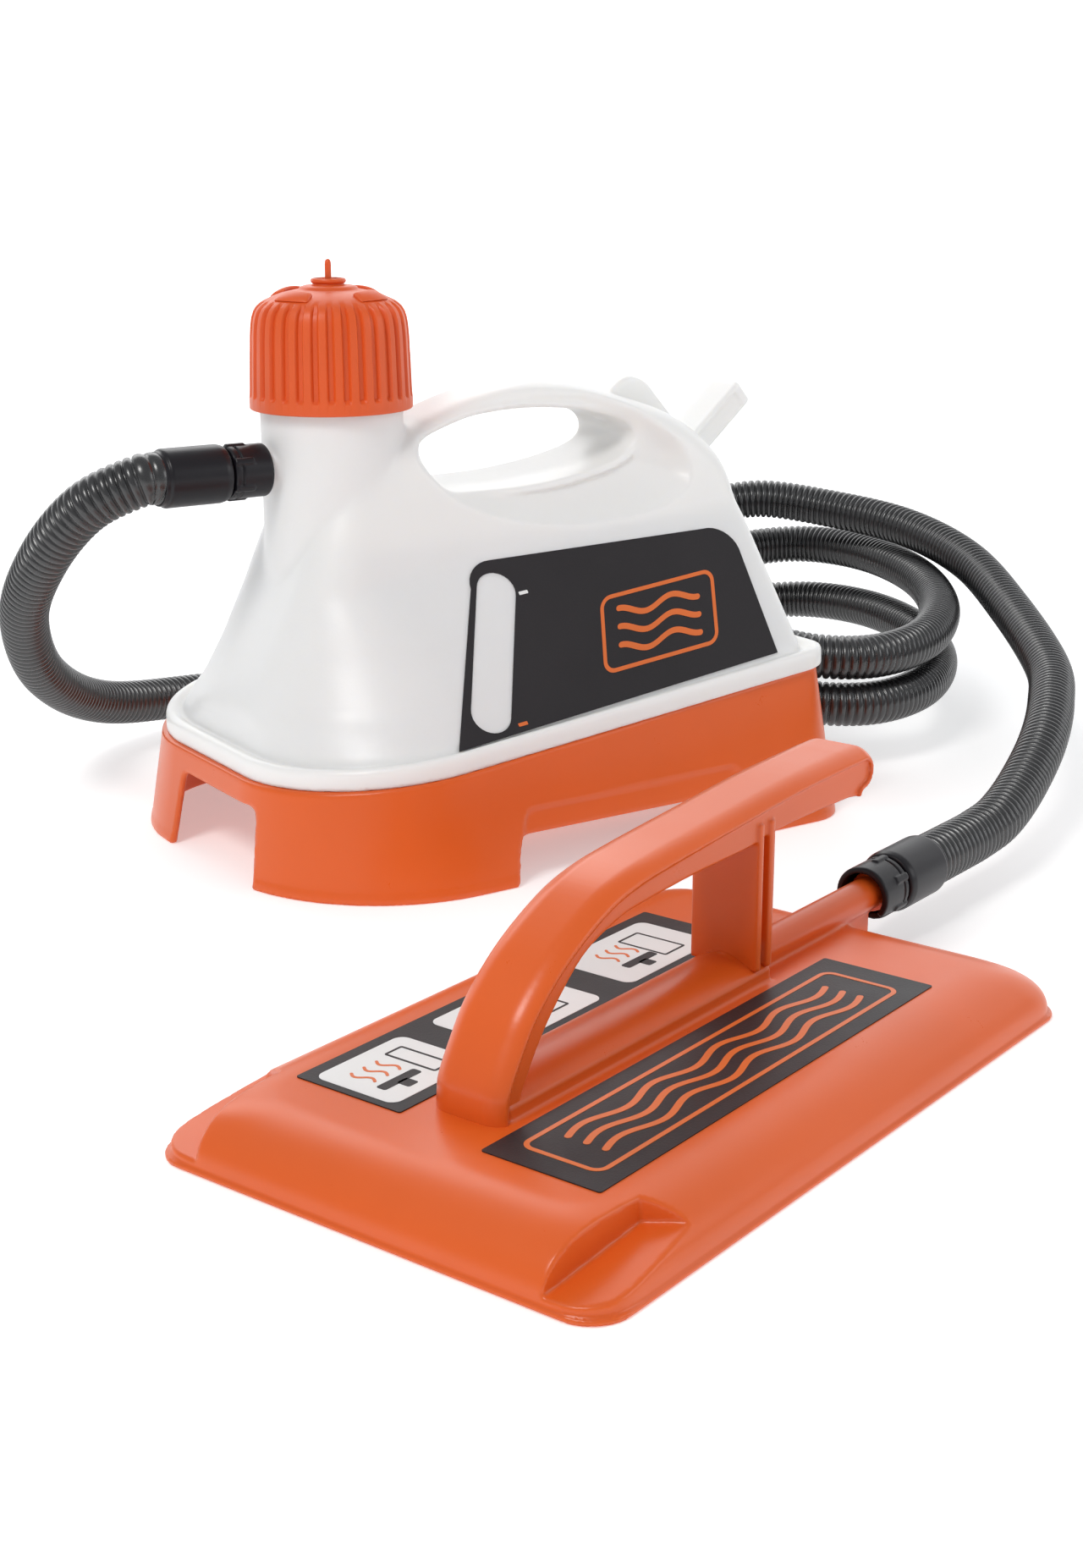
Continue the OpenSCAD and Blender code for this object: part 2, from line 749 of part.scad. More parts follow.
module tank_hose_seal() {
    color("dimgray") outlet_frame() coupling_seal();
}
module plate_coupling() {
    spigot_frame() translate([0, 0, spigot_end - stub_end]) children();
}
module plate_cuff() {
    color("black") plate_coupling() coupling_cuff();
}
module plate_hose_tail() {
    color("black") plate_coupling() coupling_tail();
}
module plate_hose_seal() {
    color("dimgray") plate_coupling() coupling_seal();
}
module plate_nut() {
    color("black") plate_coupling() difference() {
        union() {
            coupling_nut(3);
            for (k = [0:5]) rotate([0, 0, 60 * k + 30]) translate([nut_r - 0.9, 0, 12])
                cylinder(r = 1.4, h = 8.5);
        }
        rotate([0, 0, -50]) linear_extrude(10)
            polygon([[0, 0], [20, 0], [24, 20], [0, 26]]);
    }
}

module hose_tube(path, sides) {
    tank_frame() difference() {
        sweep(path, hose_r, sides);
        sweep(extended(path), hose_bore_r, sides);
    }
}
function extended(path) =
    let (n = len(path))
    concat(
        [path[0] - tangent(path, 0)],
        [for (i = [1:n - 2]) path[i]],
        [path[n - 1] + tangent(path, n - 1)]
    );
module steam_hose() {
    color("#202020") hose_tube(hose_path, 12);
}
module steam_hose_lead() {
    color("#202020") spigot_frame() translate([0, 0, lead_s0]) difference() {
        cylinder(r = hose_r, h = lead_s1 - lead_s0 + 1 - split_gap);
        translate([0, 0, -1]) cylinder(r = hose_bore_r, h = big / 4);
    }
}

// Rounded slab used for the crowned plate, moved in by t
module plate_slice(t, z) {
    translate([0, 0, z]) linear_extrude(eps)
        plan(plate_l - 2 * t, plate_w - 2 * t, plate_r, plate_r, $fn = 32);
}
module plate_form(t) {
    hull() {
        plate_slice(0.2 + t, 2.9 - 1.3 * t);
        plate_slice(0.6 + t, 6 - t);
        plate_slice(5 + t, 13 - t);
        plate_slice(13 + t, 17.5 - t);
        plate_slice(25 + t, crown_z - t);
    }
}
// Section of the rib that hides the steam duct
module duct_rib() {
    polygon([
        [-handle_w / 2, 18], [handle_w / 2, 18], [handle_w / 2, 24], [handle_w / 2 - 2.5, 28], [9.5, rib_top],
        [-9.5, rib_top], [2.5 - handle_w / 2, 28], [-handle_w / 2, 24]
    ]);
}
module corner_pocket(s) {
    translate([-141, 0, 5]) rotate([0, -10, 0]) linear_extrude(40)
        polygon([[0, s * 70], [42, s * 70], [46, s * 84], [46, s * 86], [0, s * 86]]);
}
module steam_plate() {
    color("orangered") plate_frame() difference() {
        union() {
            difference() {
                plate_form(0);
                plate_form(plate_wall);
            }
            linear_extrude(4) difference() {
                plan(plate_l, plate_w, plate_r, plate_r);
                plan(plate_l - 8, plate_w - 8, plate_r - 4, plate_r - 4);
            }
            for (s = [-1, 1]) intersection() {
                plate_form(0);
                translate([0, 0, 3]) linear_extrude(20)
                    polygon([[-143, s * 67], [-95, s * 67], [-90, s * 83], [-90, s * 89], [-143, s * 89]]);
            }
            translate([rib_start, 0, 0]) rotate([90, 0, 90])
                linear_extrude(post_x + post_t - rib_start) duct_rib();
            translate([tube_start, 0, spigot_z]) rotate([0, 90, 0]) cylinder(r = tube_r, h = spigot_end - tube_start);
            translate([spigot_end - 3, 0, spigot_z]) rotate([0, 90, 0]) cylinder(r = stub_r, h = 3);
            translate([tube_start, -2, web_z]) cube([spigot_end - 6 - tube_start, 4, spigot_z - tube_r + 2 - web_z]);
            for (p = baffle_post_at) translate([p[0], p[1], baffle_z + baffle_t]) cylinder(r = 4, h = 9);
        }
        for (s = [-1, 1]) corner_pocket(s);
        translate([duct_start, 0, spigot_z]) rotate([0, 90, 0]) cylinder(r = tail_bore, h = 300);
        for (x = [-72:20:28]) translate([x, 0, -1]) cylinder(r = 2.5, h = spigot_z);
        for (p = baffle_post_at) translate([p[0], p[1], 0]) cylinder(r = 1.5 + screw_gap, h = 17);
        for (p = handle_screw_at) translate([p[0], p[1], 0]) cylinder(r = 2.2, h = rib_top + 1);
    }
}
module handle_side() {
    polygon(concat(
        [[-98, rib_top], [-95, 36], [-87, 48]],
        arc([-36, 36], handle_z - 38, 148, 92, 6),
        [[20, handle_z], [112, handle_z + 2]],
        arc([122, handle_z - 6.5], 8.5, 80, -80, 8),
        [[62, handle_z - 14], [46, handle_z - 15], [-14, handle_z - 15.5], [-42, handle_z - 20]],
        [[-62, 59], [-76, 46], [-78, rib_top]]
    ));
}
module handle_channel() {
    channel_w = handle_w - 8;
    translate([0, channel_w / 2, 0]) rotate([90, 0, 0]) linear_extrude(channel_w) {
        polygon([
            [-60, 50], [-40, 62], [-14, 68], [46, 68], [46, handle_z - 4], [-14, handle_z - 5.5],
            [-38, handle_z - 9], [-60, handle_z - 20]
        ]);
        polygon([[65, 40], [118, 40], [118, handle_z - 5], [65, handle_z - 5]]);
    }
}
module plate_handle() {
    color("orangered") plate_frame() difference() {
        union() {
            translate([0, handle_w / 2, 0]) rotate([90, 0, 0]) linear_extrude(handle_w) handle_side();
            translate([post_x, -handle_w / 2, rib_top]) cube([post_t, handle_w, handle_z - 12 - rib_top]);
        }
        handle_channel();
        for (s = [-1, 1]) translate([post_x + 3, s * handle_w / 2 - 3, rib_top + 16]) cube([4, 6, 26]);
        for (p = handle_screw_at) translate([p[0], p[1], 0]) cylinder(r = 1.95 + screw_gap, h = 41);
    }
}
module handle_screws() {
    color("silver") plate_frame() for (p = handle_screw_at)
        translate([p[0], p[1], crown_z - plate_wall]) screw(1.95, 3.5, 23, 2.4);
}
module plate_baffle() {
    color("silver") plate_frame() difference() {
        translate([0, 0, baffle_z]) linear_extrude(baffle_t) difference() {
            sheet(plate_l - 40, plate_w - 36, 6);
            for (s = [-1, 1]) translate([-160, s * 100 - 50]) square([84, 100]);
        }
        for (x = [-105:30:105], y = [-36:24:36]) if (x > -70 || abs(y) < 30)
            translate([x, y, 0]) cylinder(r = 2, h = 20);
        for (p = baffle_post_at) translate([p[0], p[1], 0]) cylinder(r = 1.5 + screw_gap, h = 17);
    }
}
module baffle_screws() {
    color("silver") plate_frame() for (p = baffle_post_at)
        translate([p[0], p[1], baffle_z]) screw(1.5, 3, 7, 2);
}
module plate_label() {
    color("dimgray") plate_frame() translate([-103, -62, crown_z + eps]) cube([198, 44, label_t]);
}
module pictogram_label() {
    color("dimgray") plate_frame() translate([-103, 18, crown_z + eps]) cube([193, 44, label_t]);
}

tank_body();
tank_label();
base_housing();
base_cover();
base_screws();
cover_screws();
heater_plate();
heater_gasket();
heater_element();
heater_screws();
thermostat();
thermostat_bracket();
thermal_fuse();
terminal_block();
live_wire();
neutral_wire();
earth_wire();
cord_grip();
mains_cable();
plug_body();
plug_pins();
filler_cap();
cap_seal();
valve_pin();
valve_spring();
valve_retainer();
tank_nut();
tank_cuff();
tank_hose_tail();
tank_hose_seal();
steam_hose();
steam_hose_lead();
plate_cuff();
plate_hose_tail();
plate_hose_seal();
plate_nut();
steam_plate();
plate_handle();
handle_screws();
plate_baffle();
baffle_screws();
plate_label();
pictogram_label();
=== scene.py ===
"""Looks of the wallpaper steamer. Shapes are worked out in millimetres in the tank's own frame:
X runs from the front (filler neck) to the rear, Y to the far side, Z up from the floor."""

import math

import bpy
import numpy as np
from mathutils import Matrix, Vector
from mathutils.geometry import tessellate_polygon


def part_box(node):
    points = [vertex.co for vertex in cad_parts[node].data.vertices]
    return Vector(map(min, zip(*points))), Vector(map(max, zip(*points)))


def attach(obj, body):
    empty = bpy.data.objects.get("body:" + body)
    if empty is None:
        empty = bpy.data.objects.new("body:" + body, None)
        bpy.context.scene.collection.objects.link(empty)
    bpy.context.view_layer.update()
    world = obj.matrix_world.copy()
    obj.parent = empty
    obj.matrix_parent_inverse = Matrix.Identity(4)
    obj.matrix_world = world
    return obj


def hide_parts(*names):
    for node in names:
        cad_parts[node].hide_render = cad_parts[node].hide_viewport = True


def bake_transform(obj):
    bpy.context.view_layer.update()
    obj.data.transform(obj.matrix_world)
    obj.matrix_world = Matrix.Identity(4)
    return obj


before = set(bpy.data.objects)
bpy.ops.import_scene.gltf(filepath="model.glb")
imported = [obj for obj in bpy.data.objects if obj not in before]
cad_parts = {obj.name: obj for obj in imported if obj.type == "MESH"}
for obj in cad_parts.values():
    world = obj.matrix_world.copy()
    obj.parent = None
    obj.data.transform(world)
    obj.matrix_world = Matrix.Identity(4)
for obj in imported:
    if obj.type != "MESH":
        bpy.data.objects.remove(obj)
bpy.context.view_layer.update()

# ---------------- places and driving sizes, mm
NECK_X = -70.0
NECK_R = 31.0
OUTLET_X = NECK_X - NECK_R
OUTLET_Z = 169.0
DECK_MID = 58.0
DECK_TILT = math.atan(30 / 288)
BASE_L, BASE_W = 288.0, 222.0
FRONT_R, REAR_R = 80.0, 24.0
DRAFT = 9.5
FLANGE_H, LEDGE_W = 9.0, 7.0
TANK_W = BASE_W - 2 * DRAFT - 2 * LEDGE_W
SHOULDER_H, SHOULDER_HALF = 71.0, 43.0
PLATE_AT = np.array([-118.0, -297.0, 0.0])
PLATE_TURN = math.radians(18.6)
PLATE_L, PLATE_W, PLATE_R = 288.0, 178.0, 14.0
CROWN_Z = 20.0
RIB_TOP = 30.0
HANDLE_W = 28.0
POST_X, POST_T = 50.0, 10.0
SPIGOT_Z = 24.0
SPIGOT_END = 157.0
STUB_END = 12.0
HOSE_START = 32.0
CUFFED_L, LEAD_L = 19.0, 36.0
LEAD_S1 = SPIGOT_END - STUB_END + HOSE_START + CUFFED_L + LEAD_L


def middle_of(node):
    """Middle of a CAD node's box, in row-frame millimetres."""
    low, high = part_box(node)
    return (np.array(low) + np.array(high)) / 2 * 1000


CAP_MID = middle_of("filler_cap")
ORIGIN = np.array([CAP_MID[0] - NECK_X, CAP_MID[1], 0.0])


def to_row(points):
    """Tank-frame millimetres to row-frame metres."""
    return (np.asarray(points, float) + ORIGIN) / 1000


class Place:
    """A local frame given by its origin and axes in the tank frame, and the body its pieces ride on."""

    def __init__(self, body, at, ex, ey, ez):
        self.body = body
        self.at = np.array(at, float)
        self.axes = np.array([ex, ey, ez], float)

    def out(self, points):
        """Local points in the tank frame."""
        return np.asarray(points, float) @ self.axes + self.at


TANK = Place("tank_unit", (0, 0, 0), (1, 0, 0), (0, 1, 0), (0, 0, 1))
CAP = Place("cap", (NECK_X, 0, 0), (1, 0, 0), (0, 1, 0), (0, 0, 1))
PLATE_X = (math.cos(PLATE_TURN), math.sin(PLATE_TURN), 0)
PLATE_Y = (-math.sin(PLATE_TURN), math.cos(PLATE_TURN), 0)
PLATE = Place("plate_unit", PLATE_AT, PLATE_X, PLATE_Y, (0, 0, 1))
OUTLET = Place("tank_unit", (OUTLET_X, 0, OUTLET_Z), (0, 0, 1), (0, 1, 0), (-1, 0, 0))
COUPLING_AT = PLATE.out([SPIGOT_END - STUB_END, 0, SPIGOT_Z])
COUPLING = Place("hose_end", COUPLING_AT, (0, 0, -1), PLATE_Y, PLATE_X)
WALL_ANGLE = math.atan((SHOULDER_H - FLANGE_H) / (TANK_W / 2 - SHOULDER_HALF))


def wall_place():
    """The slanted side wall that carries the label: first axis along it, second up it, third outwards."""
    ct, st = math.cos(DECK_TILT), math.sin(DECK_TILT)
    along = np.array([ct, 0, st])
    up = np.array([-st, 0, ct])
    in_y = np.array([0, 1.0, 0])
    at = np.array([0, 0, DECK_MID]) - TANK_W / 2 * in_y + FLANGE_H * up
    ca, sa = math.cos(WALL_ANGLE), math.sin(WALL_ANGLE)
    return Place("tank_unit", at, along, ca * in_y + sa * up, -sa * in_y + ca * up)


WALL = wall_place()


# ---------------- distance fields
def smin(a, b, k):
    """Union with a fillet of about k."""
    h = np.clip(0.5 + 0.5 * (b - a) / k, 0, 1)
    return b * (1 - h) + a * h - k * h * (1 - h)


def smax(a, b, k):
    """Intersection with its edge rounded by about k."""
    return -smin(-a, -b, k)


def step(x, a, b):
    """Smooth step from 0 at a to 1 at b."""
    t = np.clip((x - a) / (b - a), 0, 1)
    return t * t * (3 - 2 * t)


def rbox(x, y, ax, ay, r):
    """Rounded rectangle in two dimensions."""
    qx = np.abs(x) - ax + r
    qy = np.abs(y) - ay + r
    return np.hypot(np.maximum(qx, 0), np.maximum(qy, 0)) + np.minimum(np.maximum(qx, qy), 0) - r


def plan(x, y, length, width, rf, rr):
    """Rounded rectangle with one corner radius at the front and another at the rear."""
    return rbox(x, y, length / 2, width / 2, np.where(x < 0, rf, rr))


def box3(x, y, z, ax, ay, az, r):
    """Rounded box in three dimensions."""
    q = [np.abs(x) - ax + r, np.abs(y) - ay + r, np.abs(z) - az + r]
    out = np.sqrt(sum(np.maximum(v, 0) ** 2 for v in q))
    return out + np.minimum(np.maximum(np.maximum(q[0], q[1]), q[2]), 0) - r


def arc(cx, cy, r, a0, a1, n=8):
    """Points along an arc from a0 to a1 degrees."""
    turns = [math.radians(a0 + (a1 - a0) * i / n) for i in range(n + 1)]
    return [(cx + r * math.cos(a), cy + r * math.sin(a)) for a in turns]


def curve(points, steps=8, closed=False):
    """Catmull-Rom curve through the points."""
    p = np.asarray(points, float)
    n = len(p)
    spans = n if closed else n - 1
    out = []
    for i in range(spans):
        if closed:
            a, b, c, d = p[(i - 1) % n], p[i], p[(i + 1) % n], p[(i + 2) % n]
        else:
            a, b, c, d = p[max(i - 1, 0)], p[i], p[i + 1], p[min(i + 2, n - 1)]
        for k in range(steps):
            t = k / steps
            out.append(0.5 * (2 * b + (c - a) * t + (2 * a - 5 * b + 4 * c - d) * t * t
                              + (3 * b - a - 3 * c + d) * t ** 3))
    if not closed:
        out.append(p[-1])
    return np.array(out)


class Outline:
    """Signed distance to a closed outline, read from a table."""

    def __init__(self, points, pad=12.0, pitch=0.5):
        p = np.asarray(points, float)
        self.low = p.min(0) - pad
        self.pitch = pitch
        n = np.ceil((p.max(0) + pad - self.low) / pitch).astype(int) + 1
        u = self.low[0] + pitch * np.arange(n[0])[:, None]
        v = self.low[1] + pitch * np.arange(n[1])[None, :]
        best = np.full((n[0], n[1]), 1e9)
        odd = np.zeros((n[0], n[1]), bool)
        for a, b in zip(p, np.roll(p, -1, 0)):
            d = b - a
            t = np.clip(((u - a[0]) * d[0] + (v - a[1]) * d[1]) / max(d @ d, 1e-12), 0, 1)
            best = np.minimum(best, (u - a[0] - t * d[0]) ** 2 + (v - a[1] - t * d[1]) ** 2)
            if a[1] != b[1]:
                odd ^= ((a[1] > v) != (b[1] > v)) & (u < a[0] + (v - a[1]) / d[1] * d[0])
        self.table = np.where(odd, -1, 1) * np.sqrt(best)

    def sd(self, u, v):
        top = np.array(self.table.shape) - 1.001
        fu = np.clip((u - self.low[0]) / self.pitch, 0, top[0])
        fv = np.clip((v - self.low[1]) / self.pitch, 0, top[1])
        i, j = fu.astype(int), fv.astype(int)
        s, t = fu - i, fv - j
        g = self.table
        near = (g[i, j] * (1 - s) + g[i + 1, j] * s) * (1 - t)
        far = (g[i, j + 1] * (1 - s) + g[i + 1, j + 1] * s) * t
        du = u - (self.low[0] + fu * self.pitch)
        dv = v - (self.low[1] + fv * self.pitch)
        return near + far + np.hypot(du, dv)


# ---------------- meshes from fields
def sample(field, axes):
    """The field on a grid, worked out in slices to save memory."""
    parts = []
    for x in np.array_split(axes[0], max(1, len(axes[0]) // 24)):
        grid = np.meshgrid(x, axes[1], axes[2], indexing="ij")
        shape = grid[0].shape
        parts.append(field(*[g.ravel() for g in grid]).reshape(shape).astype(np.float32))
    return np.concatenate(parts, 0)


# Keeps flat faces at round heights away from the grid's own planes
OFF_GRID = 0.3719


def surface(field, low, high, pitch):
    """Quads on the field's zero surface (naive surface nets), then pulled onto it."""
    axes = [np.arange(a - OFF_GRID * pitch, b + pitch, pitch) for a, b in zip(low, high)]
    f = sample(field, axes)
    n = np.array(f.shape)
    inside = f < 0
    stride = np.array([(n[1] - 1) * (n[2] - 1), n[2] - 1, 1])
    ids, points, quads = [], [], []
    for a in range(3):
        b, c = (a + 1) % 3, (a + 2) % 3
        lo = [slice(None)] * 3
        hi = [slice(None)] * 3
        lo[a], hi[a] = slice(None, -1), slice(1, None)
        at = np.argwhere(inside[tuple(lo)] != inside[tuple(hi)])
        at = at[(at[:, b] > 0) & (at[:, c] > 0) & (at[:, b] < n[b] - 1) & (at[:, c] < n[c] - 1)]
        end = at.copy()
        end[:, a] += 1
        f0, f1 = f[tuple(at.T)], f[tuple(end.T)]
        where = at.astype(float)
        where[:, a] += f0 / (f0 - f1)
        cells = []
        for ob, oc in ((-1, -1), (0, -1), (0, 0), (-1, 0)):
            cell = at.copy()
            cell[:, b] += ob
            cell[:, c] += oc
            cells.append(cell @ stride)
        cells = np.array(cells).T
        flip = f0 > 0
        cells[flip] = cells[flip][:, ::-1]
        quads.append(cells)
        ids.append(cells.ravel())
        points.append(np.repeat(where, 4, 0))
    quads = np.concatenate(quads)
    ids, points = np.concatenate(ids), np.concatenate(points)
    used, slot = np.unique(ids, return_inverse=True)
    count = np.bincount(slot)
    mid = np.stack([np.bincount(slot, points[:, k]) / count for k in range(3)], 1)
    verts = np.array([ax[0] for ax in axes]) + pitch * mid
    for _ in range(3):
        verts = pulled(field, verts, pitch)
    return verts, np.searchsorted(used, quads).tolist()


def pulled(field, verts, pitch):
    """The points moved along the field's slope, closer to its zero surface."""
    x, y, z = verts.T
    e = 0.25 * pitch
    f = field(x, y, z)
    g = np.stack([
        field(x + e, y, z) - field(x - e, y, z),
        field(x, y + e, z) - field(x, y - e, z),
        field(x, y, z + e) - field(x, y, z - e)], 1) / (2 * e)
    size = np.maximum((g * g).sum(1), 0.2)
    move = np.clip(f / size, -0.4 * pitch, 0.4 * pitch)
    return verts - move[:, None] * g


# Stands for a piece that is put on no body
BLENDED = "blended"


def make_piece(name, place, verts, faces, material, replaces=(), body=None, sharp=None):
    """An object from points in a local frame, on a body, standing for the CAD nodes it replaces."""
    mesh = bpy.data.meshes.new(name)
    mesh.from_pydata(to_row(place.out(verts)).tolist(), [], faces)
    mesh.shade_smooth()
    if sharp:
        mesh.set_sharp_from_angle(angle=math.radians(sharp))
    mesh.materials.append(material)
    mesh.update()
    piece = bpy.data.objects.new(name, mesh)
    bpy.context.scene.collection.objects.link(piece)
    if body != BLENDED:
        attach(piece, body or place.body)
    if replaces:
        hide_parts(*replaces)
    return piece


def moulding(name, node, place, field, low, high, pitch, material, body=None):
    """A piece from a distance field, in place of one CAD node."""
    verts, faces = surface(field, low, high, pitch)
    make_piece(name, place, verts, faces, material, [node], body)


def blend(piece):
    """Bakes the piece's placement into its points."""
    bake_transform(piece)


def loft(rings, closed_around=True, caps=True, closed_along=False):
    """Quads between rings of points, with flat ends if caps is set."""
    rings = np.asarray(rings, float)
    m, n = rings.shape[:2]
    ids = np.arange(m * n).reshape(m, n)
    nxt = np.roll(ids, -1, 1) if closed_around else ids[:, 1:]
    cur = ids if closed_around else ids[:, :-1]
    if closed_along:
        up, up_nxt = np.roll(cur, -1, 0), np.roll(nxt, -1, 0)
    else:
        up, up_nxt = cur[1:], nxt[1:]
        cur, nxt = cur[:-1], nxt[:-1]
    faces = np.stack([cur, nxt, up_nxt, up], -1).reshape(-1, 4).tolist()
    if caps and not closed_along:
        faces.append(ids[0, ::-1].tolist())
        faces.append(ids[-1].tolist())
    return rings.reshape(-1, 3), faces


def turned(profile, sides, at=(0.0, 0.0)):
    """Rings of a turned part from its (radius, height) profile, about an upright line."""
    angles = np.linspace(0, 2 * np.pi, sides, endpoint=False)
    return np.array([[(at[0] + r * math.cos(a), at[1] + r * math.sin(a), z) for a in angles]
                     for r, z in profile])


def filleted(points, r, steps=3):
    """Closed outline with its corners rounded; r has a radius for each corner."""
    p = np.asarray(points, float)
    n = len(p)
    out = []
    for i in range(n):
        a, b, c = p[i - 1], p[i], p[(i + 1) % n]
        u, v = a - b, c - b
        lu, lv = np.linalg.norm(u), np.linalg.norm(v)
        d = min(r[i], 0.45 * lu, 0.45 * lv)
        s, e = b + u / lu * d, b + v / lv * d
        for k in range(steps + 1):
            t = k / steps
            out.append((1 - t) ** 2 * s + 2 * t * (1 - t) * b + t * t * e)
    return np.array(out)


# ---------------- materials
class Nodes:
    """Short names for building a node tree."""

    def __init__(self, name):
        self.material = bpy.data.materials.new(name)
        self.material.use_nodes = True
        self.tree = self.material.node_tree
        self.shader = self.tree.nodes["Principled BSDF"]
        self.coords = self.tree.nodes.new("ShaderNodeTexCoord").outputs["Object"]

    def link(self, a, b):
        self.tree.links.new(a, b)

    def noise(self, scale, detail=3.0, rough=0.5, coords=None):
        n = self.tree.nodes.new("ShaderNodeTexNoise")
        n.inputs["Scale"].default_value = scale
        n.inputs["Detail"].default_value = detail
        n.inputs["Roughness"].default_value = rough
        self.link(coords or self.coords, n.inputs["Vector"])
        return n.outputs["Fac"]

    def ramp(self, value, *stops):
        """Two colours at two places of a value."""
        r = self.tree.nodes.new("ShaderNodeValToRGB")
        self.link(value, r.inputs["Fac"])
        for item, (at, color) in zip(r.color_ramp.elements, stops):
            item.position = at
            item.color = (*color, 1)
        return r.outputs["Color"]

    def span(self, value, low, high):
        m = self.tree.nodes.new("ShaderNodeMapRange")
        self.link(value, m.inputs["Value"])
        m.inputs["To Min"].default_value = low
        m.inputs["To Max"].default_value = high
        return m.outputs["Result"]

    def math(self, kind, a, b):
        m = self.tree.nodes.new("ShaderNodeMath")
        m.operation = kind
        for item, socket in zip((a, b), m.inputs):
            if isinstance(item, (int, float)):
                socket.default_value = item
            else:
                self.link(item, socket)
        return m.outputs[0]

    def bump(self, height, distance):
        b = self.tree.nodes.new("ShaderNodeBump")
        b.inputs["Distance"].default_value = distance
        self.link(height, b.inputs["Height"])
        self.link(b.outputs["Normal"], self.shader.inputs["Normal"])

    def set(self, **values):
        for key, value in values.items():
            self.shader.inputs[key.replace("_", " ")].default_value = value


def tint(color, k):
    """A colour made darker or lighter."""
    return tuple(c * k for c in color)


def moulded(name, color, rough=0.35, grain=900.0, depth=0.00002, sss=0.0, vary=0.05, ior=1.48):
    """Moulded plastic: slow colour drift, uneven gloss and fine surface grain."""
    n = Nodes(name)
    slow = n.noise(14.0, 3.0)
    fine = n.noise(grain, 2.0)
    n.link(n.ramp(slow, (0.3, tint(color, 1 - vary)), (0.7, tint(color, 1 + vary))),
           n.shader.inputs["Base Color"])
    gloss = n.math("ADD", n.span(n.noise(60.0, 4.0), rough - 0.05, rough + 0.05),
                   n.span(fine, -0.02, 0.02))
    n.link(gloss, n.shader.inputs["Roughness"])
    n.bump(fine, depth)
    n.set(IOR=ior)
    if sss:
        n.set(Subsurface_Weight=sss, Subsurface_Scale=0.006)
        n.set(Subsurface_Radius=(1.0, 0.95, 0.85))
    return n.material


def brushed(name, color, rough=0.32):
    """Worn sheet metal: fine scratches in one direction and duller patches."""
    n = Nodes(name)
    stretch = n.tree.nodes.new("ShaderNodeMapping")
    stretch.inputs["Scale"].default_value = (40, 40, 900)
    n.link(n.coords, stretch.inputs["Vector"])
    lines = n.noise(1.0, 4.0, 0.6, stretch.outputs["Vector"])
    patch = n.noise(120.0, 3.0)
    n.link(n.ramp(patch, (0.3, tint(color, 0.8)), (0.75, color)), n.shader.inputs["Base Color"])
    n.link(n.math("ADD", n.span(lines, rough - 0.1, rough + 0.12), n.span(patch, -0.05, 0.08)),
           n.shader.inputs["Roughness"])
    n.bump(lines, 0.00003)
    n.set(Metallic=1.0)
    return n.material


ORANGE = moulded("orange_plastic", (0.74, 0.113, 0.012), 0.30, 1400.0, 0.00001, sss=0.05, vary=0.035)
CAP_ORANGE = moulded("cap_plastic", (0.74, 0.10, 0.014), 0.42, 1200.0, 0.00002, sss=0.08, vary=0.04)
WHITE = moulded("tank_plastic", (0.86, 0.855, 0.84), 0.34, 700.0, 0.00003, sss=0.55, vary=0.012)
HOSE_BLACK = moulded("hose_black", (0.010, 0.010, 0.011), 0.28, 900.0, 0.00001, vary=0.2, ior=1.75)
CUFF_BLACK = moulded("cuff_black", (0.008, 0.007, 0.010), 0.34, 1500.0, vary=0.15, ior=1.4)
RUBBER = moulded("rubber_black", (0.02, 0.02, 0.02), 0.62, 600.0, 0.00005, vary=0.2)
CHARCOAL = moulded("label_print", (0.020, 0.017, 0.019), 0.46, 1500.0, 0.00006, vary=0.12, ior=1.4)
PRINT_WHITE = moulded("print_white", (0.82, 0.82, 0.81), 0.4, 1500.0, 0.00003, vary=0.02)
PRINT_ORANGE = moulded("print_orange", (0.75, 0.16, 0.03), 0.4, 1500.0, 0.00003, vary=0.05)
STEEL = brushed("steel", (0.62, 0.61, 0.59))
ALLOY = brushed("alloy", (0.76, 0.77, 0.78), 0.4)
BRASS = brushed("brass_pins", (0.72, 0.53, 0.24), 0.28)
CERAMIC = moulded("ceramic", (0.75, 0.71, 0.60), 0.6, 500.0, 0.00005, vary=0.06)
WIRES = [moulded("wire_" + name, color, 0.35, 800.0, vary=0.1) for name, color in (
    ("brown", (0.16, 0.05, 0.02)), ("blue", (0.02, 0.09, 0.35)), ("green", (0.12, 0.33, 0.04)))]

CAD_LOOKS = (
    (ORANGE, "base_cover"),
    (STEEL, "base_screws cover_screws heater_plate heater_element heater_screws thermostat_bracket "
            "baffle_screws"),
    (ALLOY, "plate_baffle"),
    (BRASS, "plug_pins"),
    (CERAMIC, "thermostat thermal_fuse terminal_block"),
    (WIRES[0], "live_wire"),
    (WIRES[1], "neutral_wire"),
    (WIRES[2], "earth_wire"),
    (RUBBER, "heater_gasket cord_grip tank_hose_seal plate_hose_seal"),
    (CUFF_BLACK, "valve_retainer tank_hose_tail plate_hose_tail"),
)


def dress_cad_nodes():
    """Materials for the CAD pieces that show as they are."""
    for material, nodes in CAD_LOOKS:
        for node in nodes.split():
            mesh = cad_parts[node].data
            mesh.materials.clear()
            mesh.materials.append(material)


